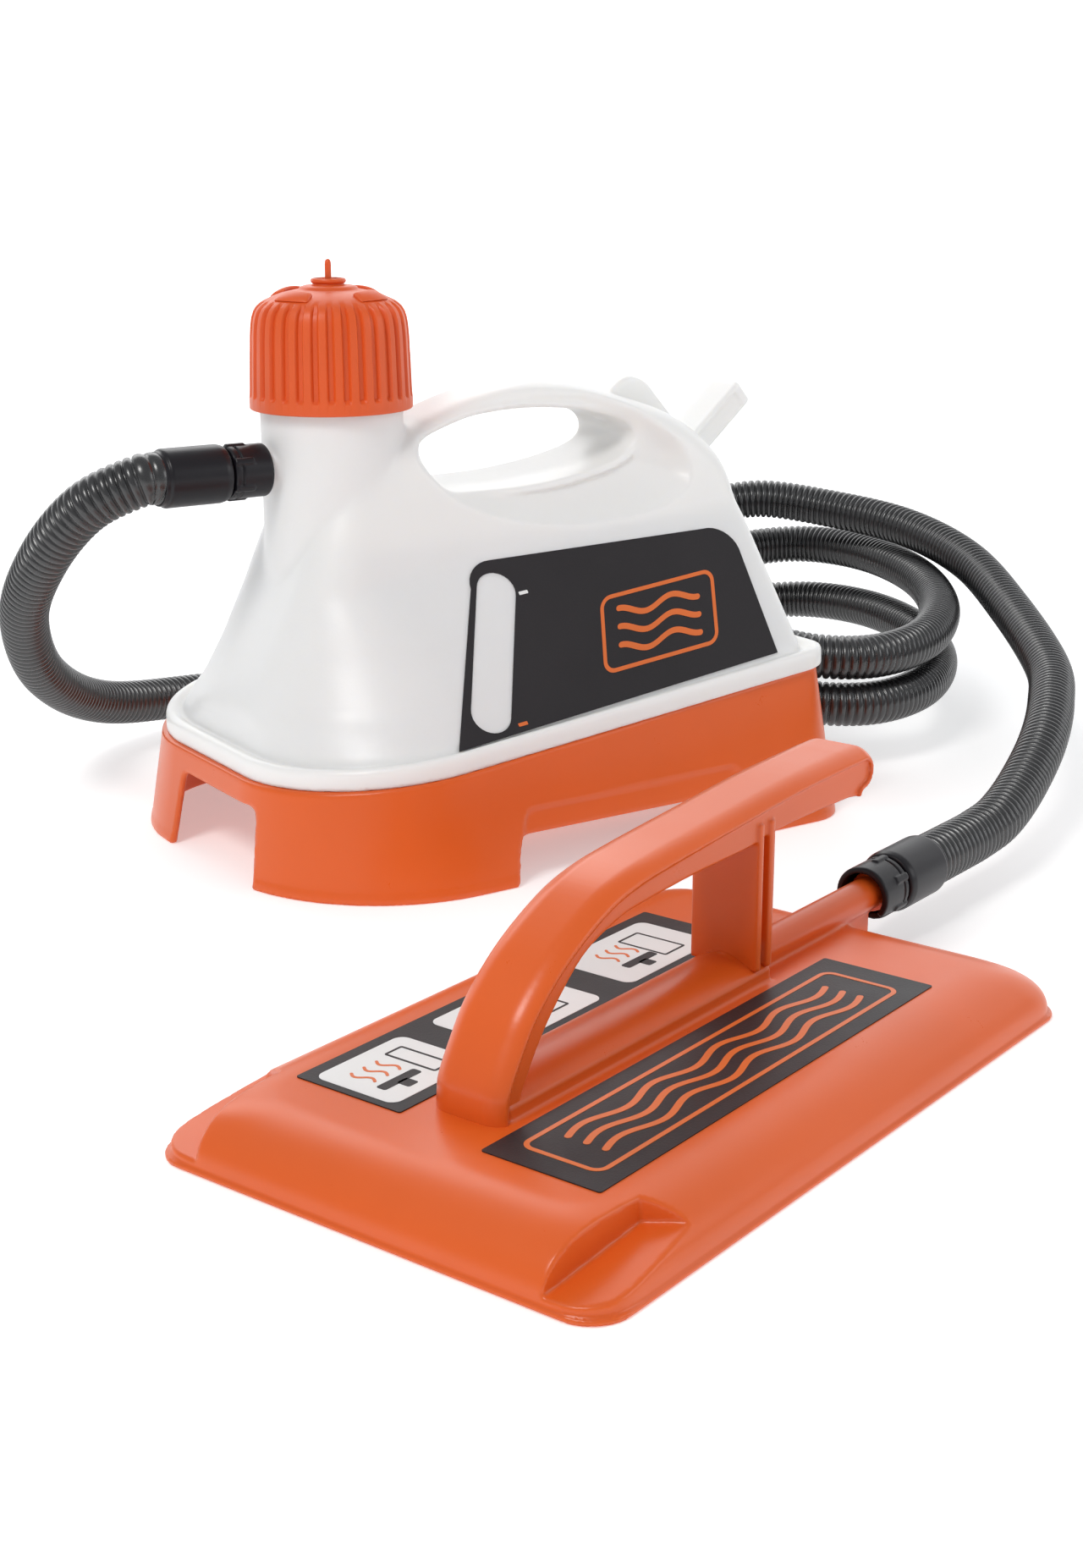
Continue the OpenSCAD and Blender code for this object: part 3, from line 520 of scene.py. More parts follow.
# ---------------- tank
REAR_X = 128.0
TANK_T, NECK_T = 3.0, 3.5
HOLLOW_TOP, NECK_TOP = 134.0, 231.5
THREAD_LEVELS, THREAD_H = (205, 213, 221), 1.5
STUB_R, STUB_BORE = 8.0, 5.5
HORN_X, HORN_Z = 118.0, 158.0
HORN_TURN = math.radians(49)
FIN_HALF = 3.2
FIN_LINE = Outline(filleted([(72, 178), (78, 192), (87, 198), (97, 195), (116, 174)],
                            [1, 6, 5, 8, 1], 5))


def deck_h(x, z):
    """Height above the tank's underside, square to it."""
    return (z - DECK_MID) * math.cos(DECK_TILT) - x * math.sin(DECK_TILT)


# Side outlines, (x, z): the tank's rear and top, the hand opening, and the scoop round it
TOP_LINE = Outline(np.concatenate([
    [(-220, 10), (-220, 186), (-90, 185)],
    curve([(-66, 184), (-40, 184.5), (-28, 188), (-4, 195.5), (22, 199), (50, 196.5), (76, 189.5),
           (98, 181), (115, 168), (126, 152), (130.5, 134)], 6),
    [(128.5, 84), (128, 10)],
]))
HOLE_LINE = Outline(curve([(-40, 174), (-36, 179), (-26, 183), (-8, 187.5), (18, 189), (44, 187),
                           (63, 183), (73, 178.5), (76.5, 173), (73.5, 167), (65, 162.5), (46, 158),
                           (20, 155), (-8, 154.5), (-27, 156), (-36.5, 163)], 5, closed=True), pad=60)
SCOOP_LINE = Outline(curve([(-44, 172), (-36, 161), (-27, 153), (-12, 146), (6, 141), (33, 138), (62, 139.5),
                            (84, 143.5), (97, 153), (96, 166), (84, 179), (66, 192), (20, 206), (-12, 202),
                            (-36, 188)], 5, closed=True), pad=60)
# Front face's x against height, corner radius and half width against height above the deck
FRONT_LINE = np.array([(30, -131), (67, -124), (121, -101), (142, -92.5), (184, -75), (240, -58)], float)
FRONT_RADIUS = np.array([(9, 64), (24, 66), (43, 52), (72, 24), (93, 18), (140, 14)], float)
HALF_WIDTH = np.array([(-20, TANK_W / 2), (FLANGE_H, TANK_W / 2), (SHOULDER_H, SHOULDER_HALF), (105, 33),
                       (120, 28), (131, 22), (160, 19)], float)
# Half thickness against height: inside the scoop, and of the lip round the hand opening
SCOOP_FLOOR = np.array([(138, 34), (148, 26), (156, 23.5), (168, 19.5), (176, 18), (200, 18)], float)
LIP_HALF = np.array([(150, 29), (158, 27.5), (166, 24.5), (174, 21.5), (186, 19.6), (200, 18.6)], float)


def soft_interp(x, table, blur=3.0):
    """Piecewise-linear curve with its corners eased."""
    return sum(np.interp(x + k * blur, table[:, 0], table[:, 1]) for k in (-1, -0.5, 0, 0.5, 1)) / 5


def tank_body_field(x, y, z, t):
    """The tank's main form, moved in by t."""
    h = deck_h(x, z)
    half = soft_interp(h, HALF_WIDTH) - t
    front = soft_interp(z, FRONT_LINE) + t
    rear = REAR_X - t
    mid, length = (front + rear) / 2, (rear - front) / 2
    rf = np.minimum(soft_interp(h, FRONT_RADIUS), half * 0.98)
    wall = rbox(x - mid, y, length, half, np.where(x < mid, rf, 12.0))
    return smax(wall * 0.86, TOP_LINE.sd(x, z) + t, 13.0)


def grip_opening(x, y, z, body):
    """Scoops both sides round the hand opening, leaves a lip and cuts the opening through."""
    h = deck_h(x, z)
    inside = np.maximum(-SCOOP_LINE.sd(x, z), 0)
    depth = 13.0 * (1 - np.exp(-inside / 9.0))
    half = soft_interp(h, HALF_WIDTH) - depth
    floor = soft_interp(z, SCOOP_FLOOR)
    scooped = smax(half, floor, 3.0)
    d = np.where(inside > 0, smax(body, np.abs(y) - scooped, 2.0), body)
    hole = HOLE_LINE.sd(x, z)
    lip = smax(smax(np.abs(y) - soft_interp(z, LIP_HALF), hole - 2.6, 1.0), body - 0.5, 1.0)
    d = smin(d, lip, 1.2)
    return smax(d, -hole - 0.02 * np.abs(y), 2.2)


def neck_field(x, y, z):
    """Filler neck, drawn in where the cap screws over it, with three thread ridges."""
    wall = np.hypot(x - NECK_X, y) - NECK_R + 1.4 * step(z, 194, 196.5)
    for level in THREAD_LEVELS:
        wall = wall - THREAD_H * np.maximum(0, 1 - np.abs(z - level) / 1.9)
    return smax(wall, np.maximum(z - NECK_TOP, 70 - z), 1.0)


def flange_field(x, y, h):
    """White band on the base: rounded upper edge, then a ledge falling to a crease."""
    flange = plan(x, y, BASE_L - 2 * DRAFT, BASE_W - 2 * DRAFT, FRONT_R - DRAFT, REAR_R - DRAFT)
    top = FLANGE_H - 2.4 * step(-flange, 2.0, LEDGE_W + 1.5)
    return smax(smax(flange, (h - top) * 0.95, 3.2), -h, 1.0)


def horn_field(x, y, z):
    """Storage horn: a blade on the rear shoulder with a groove down each edge."""
    dx, dz = x - HORN_X, z - HORN_Z
    along = dx * math.sin(HORN_TURN) + dz * math.cos(HORN_TURN)
    across = dx * math.cos(HORN_TURN) - dz * math.sin(HORN_TURN)
    shape = rbox(along - 18, y, 26.5, 11, 3.5)
    body = smax(shape, np.abs(across + 0.5) - 6, 2.0)
    groove = smax(smax(np.abs(across + 0.5) - 3.6, 10.2 - np.abs(y), 0.8), np.abs(along - 20) - 19, 1)
    return smax(body, -groove, 1.0)


def tank_field(x, y, z):
    """The whole tank moulding, hollow, with its neck, outlet stub, horn and fin."""
    h = deck_h(x, z)
    body = grip_opening(x, y, z, tank_body_field(x, y, z, 0.0))
    d = smin(body, neck_field(x, y, z), 1.8)
    d = smin(d, flange_field(x, y, h), 1.2)
    d = smin(d, horn_field(x, y, z), 3.0)
    fin = smax(FIN_LINE.sd(x, z), np.abs(y) - FIN_HALF, 2.5)
    d = smin(d, fin, 3.0)
    stub_r = np.hypot(y, z - OUTLET_Z)
    stub = np.maximum(smax(stub_r - STUB_R, -(x - OUTLET_X) - STUB_END, 1), x - NECK_X)
    d = smin(d, stub, 3.5)
    hollow = np.maximum(np.maximum(tank_body_field(x, y, z, TANK_T), z - HOLLOW_TOP), TANK_T - h)
    neck_bore = np.maximum(np.hypot(x - NECK_X, y) - (NECK_R - NECK_T), 100 - z)
    stub_bore = np.maximum(stub_r - STUB_BORE, x - NECK_X)
    for cut in (hollow, neck_bore, stub_bore):
        d = np.maximum(d, -cut)
    return d


def build_tank():
    moulding("tank_shell", "tank_body", TANK, tank_field, (-138, -105, 40), (163, 105, 234), 1.25,
             WHITE)


# ---------------- base
# Cut-outs between the feet and the raised side panel, (x or y, z)
SIDE_ARCH = Outline(filleted([(-47, -12), (-41, 21), (57, 21), (94, -1), (104, -12)],
                             [0.1, 4, 6, 3, 0.1], 4))
FRONT_ARCH = Outline(filleted([(-51, -12), (-46, 34), (22, 34), (27, -12)], [0.1, 5, 5, 0.1], 5))
REAR_ARCH = Outline(filleted([(-68, -12), (-60, 20), (60, 20), (68, -12)], [0.1, 5, 5, 0.1], 4))
SIDE_PANEL = Outline(filleted([(-44, 10), (-38, 31.5), (62, 33), (74, 33), (88, 22), (88, 10)],
                              [0.1, 3, 10, 3, 3, 0.1], 4))
BASE_T = 3.2
HEATER_X, HEATER_R = 8.0, 53.0
CORD_X, CORD_Z, CORD_R = 60.0, 38.0, 6.0


def base_outer(x, y, z, t):
    """The base's drafted outside, moved in by t."""
    lean = DRAFT * z / DECK_MID + t
    length, width = BASE_L / 2 - lean, BASE_W / 2 - lean
    r = np.where(x < 0, FRONT_R, REAR_R) - lean
    return rbox(x, y, length, width, r)


def base_field(x, y, z):
    """Skirted shell with feet, the bay for the heater's terminals and the cord's hole."""
    h = deck_h(x, z)
    outer = base_outer(x, y, z, 0.3 * step(z, 3.6, 4.4))
    panel = smax(SIDE_PANEL.sd(x, z), 60 - np.abs(y), 1)
    outer = outer + 1.0 * step(-panel, -0.4, 0.6)
    inner = base_outer(x, y, z, BASE_T)
    shell = smax(outer, -smax(inner, h + 3, 2.0), 0.8)
    shell = smax(smax(shell, h, 1.2), -z, 0.8)
    bay = rbox(x - 10, y, 92, 60, 12)
    bay = np.maximum(np.maximum(np.abs(bay + 1.3) - 1.3, 14 - z), h)
    d = smin(shell, bay, 1.5)
    sides = smax(SIDE_ARCH.sd(x, z), 72 - np.abs(y), 1)
    front = smax(FRONT_ARCH.sd(y, z), x + 95, 1)
    rear = smax(REAR_ARCH.sd(y, z), 110 - x, 1)
    d = smax(d, -np.minimum(np.minimum(sides, front), rear), 1.4)
    heater = np.maximum(np.hypot(x - HEATER_X, y) - HEATER_R, -6 - h)
    cord = np.maximum(np.hypot(x - CORD_X, z - CORD_Z) - CORD_R, 40 - y)
    return np.maximum(np.maximum(d, -heater), -cord)


def build_base():
    moulding("base_shell", "base_housing", TANK, base_field, (-146, -113, -1.6), (146, 113, 76), 1.3,
             ORANGE)


# ---------------- filler cap and valve
CAP_RIBS = 32
# Profiles as (radius, height)
CAP_OUTER = [(33.2, 193.2), (34.9, 193.2), (35.3, 193.6), (35.3, 198.2), (35.2, 199.0), (35.1, 200),
             (35.0, 202), (34.8, 208), (34.5, 216), (34.2, 224), (33.8, 229), (33.3, 232), (32.5, 234.4),
             (31.4, 236.2), (29.9, 237.6), (28.4, 238.6), (26.8, 239.4), (24, 240.6), (20, 242.0),
             (16, 242.9), (13.2, 243.4), (12.6, 243.8), (12.2, 244.4), (10.5, 245.0), (8.0, 245.2),
             (6.9, 245.4), (6.7, 245.8), (7.3, 246.2), (7.6, 246.8), (7.5, 247.4), (7.1, 247.9),
             (6.3, 248.0), (6.05, 247.6), (6.0, 246.4)]
CAP_INNER = [(6.0, 240.0), (6.0, 234.8), (9.0, 234.0), (9.0, 221.5), (9.5, 221.5), (9.5, 234.4),
             (29.6, 234.4), (30.6, 233.2), (31.4, 228.0), (31.8, 214.0), (32.2, 196.0), (32.4, 193.6)]
SEAL_LINE = [(27.4, 232.1), (29.9, 232.1), (29.9, 234.2), (27.4, 234.2)]
PIN_LINE = [(0.01, 222.0), (2, 222.2), (2, 224), (5.2, 224.05), (5.2, 226), (1.45, 226.2), (1.4, 253.5),
            (1.3, 254.8), (0.9, 255.7), (0.01, 256)]
SPRING_LOW, SPRING_HIGH = 226.7, 243.1
SPRING_R, SPRING_WIRE_R, SPRING_TURNS = 3.9, 0.45, 6


def cap_rings(sides):
    """Rings of the cap, with grooves between the ribs sunk square to the surface."""
    p = np.array(CAP_OUTER)
    along = np.gradient(p, axis=0)
    along /= np.linalg.norm(along, axis=1)[:, None]
    normal = np.stack([along[:, 1], -along[:, 0]], 1)
    fade = step(p[:, 1], 198.4, 199.6) * step(p[:, 0], 27.5, 30.5)
    t = np.linspace(0, 2 * np.pi, sides, endpoint=False)
    groove = step(-np.cos(CAP_RIBS * t), 0.05, 0.5)
    sunk = p[:, None] - (1.7 * fade)[:, None, None] * groove[None, :, None] * normal[:, None]
    inner = np.repeat(np.array(CAP_INNER)[:, None], sides, 1)
    rz = np.concatenate([sunk, inner])
    return np.stack([rz[..., 0] * np.cos(t), rz[..., 0] * np.sin(t), rz[..., 1]], -1)


def build_cap():
    """The cap with its seal and four lugs."""
    verts, faces = loft(cap_rings(CAP_RIBS * 14), closed_along=True)
    make_piece("cap_shell", CAP, verts, faces, CAP_ORANGE, ["filler_cap"], sharp=40)
    verts, faces = loft(turned(SEAL_LINE, 96), closed_along=True)
    make_piece("seal_ring_vis", CAP, verts, faces, RUBBER, ["cap_seal"], "seal_ring", 40)
    for k in range(4):
        build_lug("cap_lug_%d" % (k + 1), math.radians(22 + 90 * k))


def build_lug(name, turn):
    """Curved raised lug on the cap's dome."""
    half = 0.36
    rings = []
    for a in np.linspace(-half, half, 15):
        fade = math.cos(a / half * math.pi / 2) ** 0.35
        base = [(19.5, 241.2), (19.9, 242.2 + 1.5 * fade), (21.0, 242.4 + 1.7 * fade),
                (24.5, 241.2 + 1.5 * fade), (26.6, 239.9 + 1.1 * fade), (27.6, 239.0)]
        rings.append([(r * math.cos(turn + a), r * math.sin(turn + a), z) for r, z in base])
    verts, faces = loft(np.array(rings))
    piece = make_piece(name, CAP, verts, faces, CAP_ORANGE)
    soft = piece.modifiers.new("soft", "SUBSURF")
    soft.levels = soft.render_levels = 2


def build_relief_valve():
    """Flanged pin, and the coil spring over it."""
    verts, faces = loft(turned(PIN_LINE, 32))
    make_piece("relief_pin", CAP, verts, faces, CAP_ORANGE, ["valve_pin"],
               "relief_valve", 50)
    a = np.linspace(0, 2 * np.pi * SPRING_TURNS, SPRING_TURNS * 24 + 1)
    rise = np.linspace(SPRING_LOW, SPRING_HIGH, len(a))
    path = np.stack([SPRING_R * np.cos(a), SPRING_R * np.sin(a), rise], 1)
    verts, faces = loft(tube_rings(path, np.full(len(path), SPRING_WIRE_R), 10))
    spring = make_piece("valve_spring_vis", CAP, verts, faces, STEEL, ["valve_spring"], BLENDED)
    blend(spring)


# ---------------- couplings
def ribbed_nut_field(x, y, z):
    """Union nut with a stepped bore, a shallow ring groove and six grip ribs."""
    r = np.hypot(x, y)
    body = smax(r - 11.4, np.abs(z - 12) - 9, 1.3)
    mouth = np.maximum(r - 9.06, z - 15.7)
    hole = np.maximum(r - 6.56, -z)
    groove = smax(np.abs(z - 17.4) - 0.45, 10.7 - r, 0.3)
    body = smax(np.maximum(np.maximum(body, -mouth), -hole), -groove, 0.3)
    turn = np.arctan2(y, x)
    lobe = np.abs((turn + math.pi / 6) % (math.pi / 3) - math.pi / 6) * r
    rib = smax(smax(lobe - 1.5, r - 12.2, 0.8), np.abs(z - 16.3) - 4.4, 0.8)
    return smin(body, np.maximum(rib, 8.9 - r), 0.6)


def cuff_field(x, y, z):
    """Sleeve that joins a nut to the hose."""
    r = np.hypot(x, y)
    swell = 12.0 + 0.5 * step(z, 22.5, 25.5)
    body = smax(r - swell, np.abs(z - 36.5) - 14.5, 1.6)
    neck = smax(r - 11.5, np.abs(z - 51.0) - 2.2, 0.8)
    body = smin(body, neck, 0.5)
    bore = np.maximum(r - 6.5, -z)
    seat = np.maximum(r - 10.6, 31.5 - z)
    return np.maximum(np.maximum(body, -bore), -seat)


def plate_nut_field(x, y, z):
    """Ribbed nut with an open C-shaped slot on one side."""
    r = np.hypot(x, y)
    away = np.abs((np.arctan2(y, x) + math.radians(5) + math.pi) % (2 * math.pi) - math.pi)
    slot_cut = np.maximum((away - math.radians(45)) * r, z - 10)
    return smax(ribbed_nut_field(x, y, z), -slot_cut, 0.8)


def build_couplings():
    """A nut that turns and a cuff at each end of the hose."""
    half = 13.5
    for end, place, nut in (("tank", OUTLET, ribbed_nut_field), ("plate", COUPLING, plate_nut_field)):
        moulding(end + "_nut_ring_vis", end + "_nut", place, nut, (-half, -half, 2), (half, half, 22),
                 0.45, CUFF_BLACK, end + "_nut_ring")
        moulding(end + "_cuff_vis", end + "_cuff", place, cuff_field, (-half, -half, 21),
                 (half, half, 54), 0.45, CUFF_BLACK)


# ---------------- hose
# Oval coil: middle, half axes, heading, turns and where on the oval it starts, then heights
COIL_MID = (259.0, 67.0)
COIL_A, COIL_B = 135.0, 72.0
COIL_TURN = math.radians(56.3)
COIL_TURNS, COIL_START = 2, 135
COIL_FOOT, COIL_RISE, COIL_LEAN = 18.0, 24.0, 28.0
HOSE_PITCH = 3.6
RING_STEPS = 10
ROOT_R, CUFFED_ROOT_R, CREST_H = 9.2, 8.6, 1.8
# Where the hose's last run, a piece of its own, begins
RUN_START = (337, 20, 79)


def coil_point(a):
    """A point of the oval coil behind the tank, a degrees along it; it leans on the turns below."""
    w = math.radians(COIL_START - a)
    u, v = COIL_B * math.cos(w), COIL_A * math.sin(w)
    c, s = math.cos(COIL_TURN), math.sin(COIL_TURN)
    lean = COIL_LEAN * (0.25 + 0.75 * a / (360 * COIL_TURNS))
    z = COIL_FOOT + COIL_RISE * a / 360 + lean * (1 + math.sin(w)) / 2
    return (COIL_MID[0] + v * c + u * s, COIL_MID[1] + v * s - u * c, z)


def on_spigot(s, lift=0.0):
    """A point on the plate spigot's axis, or lift above it."""
    return tuple(PLATE.out([s, 0, SPIGOT_Z + lift]))


def hose_path():
    """From the tank's outlet, round behind the tank, through the coil and back to the plate."""
    way = [(OUTLET_X - HOSE_START - s, 0, OUTLET_Z) for s in (0, 10, 20, 28)]
    way += [(-180, 15, 157), (-189, 44, 131), (-184, 84, 98), (-160, 125, 60), (-112, 172, 30),
            (-45, 195, 20), (30, 186, 20), (105, 172, 20), (180, 162, 21)]
    way += [coil_point(a) for a in range(0, 360 * COIL_TURNS + 1, 30)]
    way += [(303, 164, 97), (332, 128, 93), (345, 78, 88), RUN_START, (308, -43, 66),
            (265, -111, 55), (232, -146, 49), (197, -175, 41.5), (162, -197, 32),
            on_spigot(LEAD_S1 + 33, 2.6), on_spigot(LEAD_S1 + 12, 0.3), on_spigot(LEAD_S1 + 1),
            on_spigot(LEAD_S1 - 18), on_spigot(SPIGOT_END - STUB_END + HOSE_START)]
    return curve(way, 24)


def even(path, pitch):
    """The path as points an even distance apart."""
    d = np.r_[0, np.cumsum(np.linalg.norm(np.diff(path, axis=0), axis=1))]
    n = int(round(d[-1] / pitch))
    s = np.linspace(0, d[-1], n + 1)
    return np.stack([np.interp(s, d, path[:, k]) for k in range(3)], 1), s


def tube_rings(path, radii, sides):
    """Rings square to a path."""
    t = np.gradient(path, axis=0)
    t /= np.linalg.norm(t, axis=1)[:, None]
    side = np.cross(t, (0, 0, 1))
    side /= np.linalg.norm(side, axis=1)[:, None]
    up = np.cross(side, t)
    a = np.linspace(0, 2 * np.pi, sides, endpoint=False)
    ring = np.cos(a)[None, :, None] * side[:, None] + np.sin(a)[None, :, None] * up[:, None]
    return path[:, None] + radii[:, None, None] * ring


def corrugation(s):
    """Hose radius along its length: round crests and narrow roots, slimmer inside the cuffs."""
    phase = np.arange(len(s)) / RING_STEPS % 1.0
    crest = np.sqrt(np.maximum(0, 1 - (2 * phase - 1) ** 2))
    free = step(s, CUFFED_L - 2, CUFFED_L + 2) * step(s[-1] - s, CUFFED_L - 2, CUFFED_L + 2)
    return CUFFED_ROOT_R + (ROOT_R - CUFFED_ROOT_R) * free + CREST_H * crest


def build_hose():
    """One corrugated tube in two pieces: the main length rides on the tank, the last run on no body."""
    path, s = even(hose_path(), HOSE_PITCH / RING_STEPS)
    smooth = path.copy()
    for _ in range(60):
        smooth[1:-1] = 0.25 * smooth[:-2] + 0.5 * smooth[1:-1] + 0.25 * smooth[2:]
    rings = tube_rings(smooth, corrugation(s), 36)
    near = np.argmin(np.linalg.norm(smooth - np.array(RUN_START), axis=1))
    cut = int(round(near / RING_STEPS) * RING_STEPS)
    verts, faces = loft(rings[:cut + 1])
    make_piece("hose_main", TANK, verts, faces, HOSE_BLACK)
    verts, faces = loft(rings[cut:])
    run = make_piece("hose_run", TANK, verts, faces, HOSE_BLACK,
                     ["steam_hose", "steam_hose_lead"], BLENDED)
    blend(run)


# ---------------- steam plate
FALL_W, FALL_H = 25.0, CROWN_Z - 3.0
PLATE_T = 3.0
SPIGOT_R, SPIGOT_BORE = 6.5, 4.5


def plate_form(x, y, z, t):
    """Flat crown that falls away elliptically to the edges, moved in by t."""
    half_l, half_w = PLATE_L / 2 - 0.6, PLATE_W / 2 - 0.6
    square = smax(np.abs(x) - half_l, np.abs(y) - half_w, 20.0)
    e = -smax(rbox(x, y, half_l, half_w, PLATE_R), square, 3.0) - t
    q1 = np.clip((FALL_W - e) / FALL_W, 0, None)
    q2 = np.maximum(z + t + FALL_H - CROWN_Z, 0) / FALL_H
    q = np.hypot(q1, q2) + 1e-9
    slope = np.hypot(q1 / FALL_W, q2 / FALL_H) + 1e-9
    return np.where(e >= FALL_W, np.maximum(z + t - CROWN_Z, -e), (q - 1) * q / slope)


POCKET = Outline(filleted([(-160, 66), (-101, 71), (-95, 82), (-93, 120), (-160, 120)],
                          [0.1, 0.6, 2, 0.1, 0.1], 2), pad=80)


def plate_field(x, y, z):
    """Crowned tray with a thin rim, corner pockets, the duct under the handle and the spigot."""
    pocket_side = POCKET.sd(x, np.abs(y))
    ramp = 4.6 + 0.16 * (x + 141)
    body = smax(plate_form(x, y, z, 0.0), -smax(pocket_side, ramp - z, 0.6), 0.6)
    rim = smax(rbox(x, y, PLATE_L / 2 - 0.4, PLATE_W / 2 - 0.4, PLATE_R), np.abs(z - 0.9) - 0.9, 0.6)
    body = smin(body, rim, 0.6)
    mouth = np.maximum(rbox(x, y, PLATE_L / 2 - 4, PLATE_W / 2 - 4, PLATE_R - 4), z - 3.4)
    hollow = np.minimum(plate_form(x, y, z, PLATE_T), mouth)
    body = np.maximum(body, -np.maximum(hollow, PLATE_T - pocket_side))
    roof = RIB_TOP - 5.5 * (2 * y / HANDLE_W) ** 2
    duct = smax(smax(np.abs(y) - HANDLE_W / 2 + 0.6, z - roof, 1.0), 17 - z, 1)
    duct = smax(duct, np.abs(x + 14) - 75, 2.0)
    d = smin(body, duct, 1.6)
    tube_r = np.hypot(y, z - SPIGOT_Z)
    tube = np.maximum(np.maximum(tube_r - SPIGOT_R, POST_X - x), x - SPIGOT_END)
    collar = smax(tube_r - SPIGOT_R - 1.5, np.abs(x - SPIGOT_END + 1.6) - 1.6, 0.8)
    web = smax(np.abs(y) - 2.2, np.maximum(np.maximum(z - 20, 3.5 - z), np.abs(x - 101) - 50), 1)
    d = smin(smin(d, tube, 2.5), web, 2.0)
    d = np.minimum(d, collar)
    bore = np.maximum(tube_r - SPIGOT_BORE, -80 - x)
    return np.maximum(np.maximum(d, -bore), -z)


def build_plate():
    moulding("plate_shell", "steam_plate", PLATE, plate_field, (-146, -91, -1), (159.5, 91, 34), 1.0,
             ORANGE)


# ---------------- handle
GRIP_OUTER = [(-94, 17), (-93.6, 25), (-92.2, 31.5), (-85.5, 43.1), (-77.4, 54), (-61.8, 66.7),
              (-41, 77.4), (-23.5, 82.2), (-2, 84.6), (35, 87.4), (77, 90.4), (112, 91.5)]
GRIP_TAIL = arc(122, 82.5, 9.2, 80, -85, 10)
GRIP_UNDER = [(113, 74.6), (80, 75.2), (57, 74.6), (46, 73.2), (12, 72.6), (-18, 71), (-31, 69.3),
              (-47.8, 63.8), (-60, 54.5), (-72, 41.6), (-82, 25), (-83.5, 17)]
GRIP = Outline(np.concatenate([curve(GRIP_OUTER, 6), GRIP_TAIL, curve(GRIP_UNDER, 6)]))
GRIP_BACK = Outline(np.concatenate([curve(GRIP_OUTER, 6), GRIP_TAIL, [(131, -30), (-96, -30)]]), pad=60)
CHANNEL_HALF = 10.0


def handle_field(x, y, z):
    """Grip and leg: a rounded back with a lip over thinner side walls."""
    side = GRIP.sd(x, z)
    back = GRIP_BACK.sd(x, z)
    crown = np.hypot(np.maximum(np.abs(y) - 6.5, 0), np.maximum(back + 10, 0)) - 10
    lip = smax(smax(side, np.abs(y) - HANDLE_W / 2, 1.0), -4.6 - back, 0.6)
    walls = smax(side, np.abs(y) - HANDLE_W / 2 + 1.3, 1.0)
    body = np.maximum(np.minimum(lip, walls), crown)
    body = smax(body, -channel_field(x, y, z), 0.8)
    return smin(body, post_field(x, y, z), 1.0)


def channel_field(x, y, z):
    """Open channel along the underside of the grip and up the inside of the leg."""
    across = np.abs(y) - CHANNEL_HALF
    under = np.array(GRIP_UNDER)[::-1]
    past = np.maximum(z - np.interp(x, under[:, 0], under[:, 1]) - 1, -80 - x)
    past = np.maximum(np.maximum(across, past), np.maximum(x - 110, 30 - z))
    open_cut = np.minimum(np.maximum(across, GRIP.sd(x, z) + 4.0), past)
    solid_post = POST_T / 2 + 2 - np.abs(x - POST_X - POST_T / 2)
    return np.maximum(open_cut, solid_post)


def post_field(x, y, z):
    """I-shaped post: a web between two flanges."""
    level = np.maximum(26 - z, z - 80)
    parts = [smax(smax(np.abs(x - mid) - half, np.abs(y) - half_w, 0.8), level, 0.5)
             for mid, half, half_w in ((POST_X + 1.5, 1.5, HANDLE_W / 2),
                                       (POST_X + POST_T - 1.5, 1.5, HANDLE_W / 2),
                                       (POST_X + POST_T / 2, POST_T / 2, 10.5))]
    return np.minimum(np.minimum(parts[0], parts[1]), parts[2])


def build_handle():
    moulding("handle_shell", "plate_handle", PLATE, handle_field, (-99, -15.5, 16), (133.5, 15.5, 94),
             0.8, ORANGE)


HANDLE_SCREWS = [(-87.0, 0.0), (POST_X + POST_T / 2, 9.5), (POST_X + POST_T / 2, -9.5)]
SCREW_LINE = [(0.01, 14.6), (3.3, 14.6), (3.5, 14.9), (3.5, 16.7), (3.3, 17.0), (1.95, 17.0),
              (1.95, 33.4), (1.2, 34.6), (0.01, 34.7)]


def build_handle_screws():
    """Screws up through the crown into the handle's foot and post."""
    verts, faces = [], []
    for at in HANDLE_SCREWS:
        one, skin = loft(turned(SCREW_LINE, 24, at))
        faces += [[i + len(verts) for i in face] for face in skin]
        verts += one.tolist()
    make_piece("handle_screws_vis", PLATE, verts, faces, STEEL, ["handle_screws"], sharp=40)


# ---------------- printed labels
PRINT_T = 0.12
LABEL_T = 0.4
EMBLEM_MID = (57.5, 31.5)
EMBLEM_LEAN = 0.45


def sheet(name, place, outline, z, material, thick=PRINT_T, replaces=(), hole=None):
    """Thin flat piece from an outline, with an optional hole whose outline has as many points."""
    edges = [(outline, z), (outline, z + thick)]
    if hole is not None:
        edges += [(hole, z + thick), (hole, z)]
    rings = [[(u, v, level) for u, v in edge] for edge, level in edges]
    verts, faces = loft(rings, closed_along=hole is not None)
    make_piece(name, place, verts, faces, material, replaces, sharp=40)


def rounded(cx, cy, ax, ay, r, n=6):
    """Outline of a rounded rectangle."""
    out = []
    for sx, sy, a in ((1, 1, 0), (-1, 1, 90), (-1, -1, 180), (1, -1, 270)):
        out += arc(cx + sx * (ax - r), cy + sy * (ay - r), r, a, a + 90, n)
    return np.array(out)


def frame_band(name, place, mid, half, r, width, z, material):
    """Rounded rectangular frame."""
    outer = rounded(*mid, *half, r, 8)
    inner = rounded(*mid, half[0] - width, half[1] - width, max(r - width, 0.5), 8)
    sheet(name, place, outer, z, material, hole=inner)


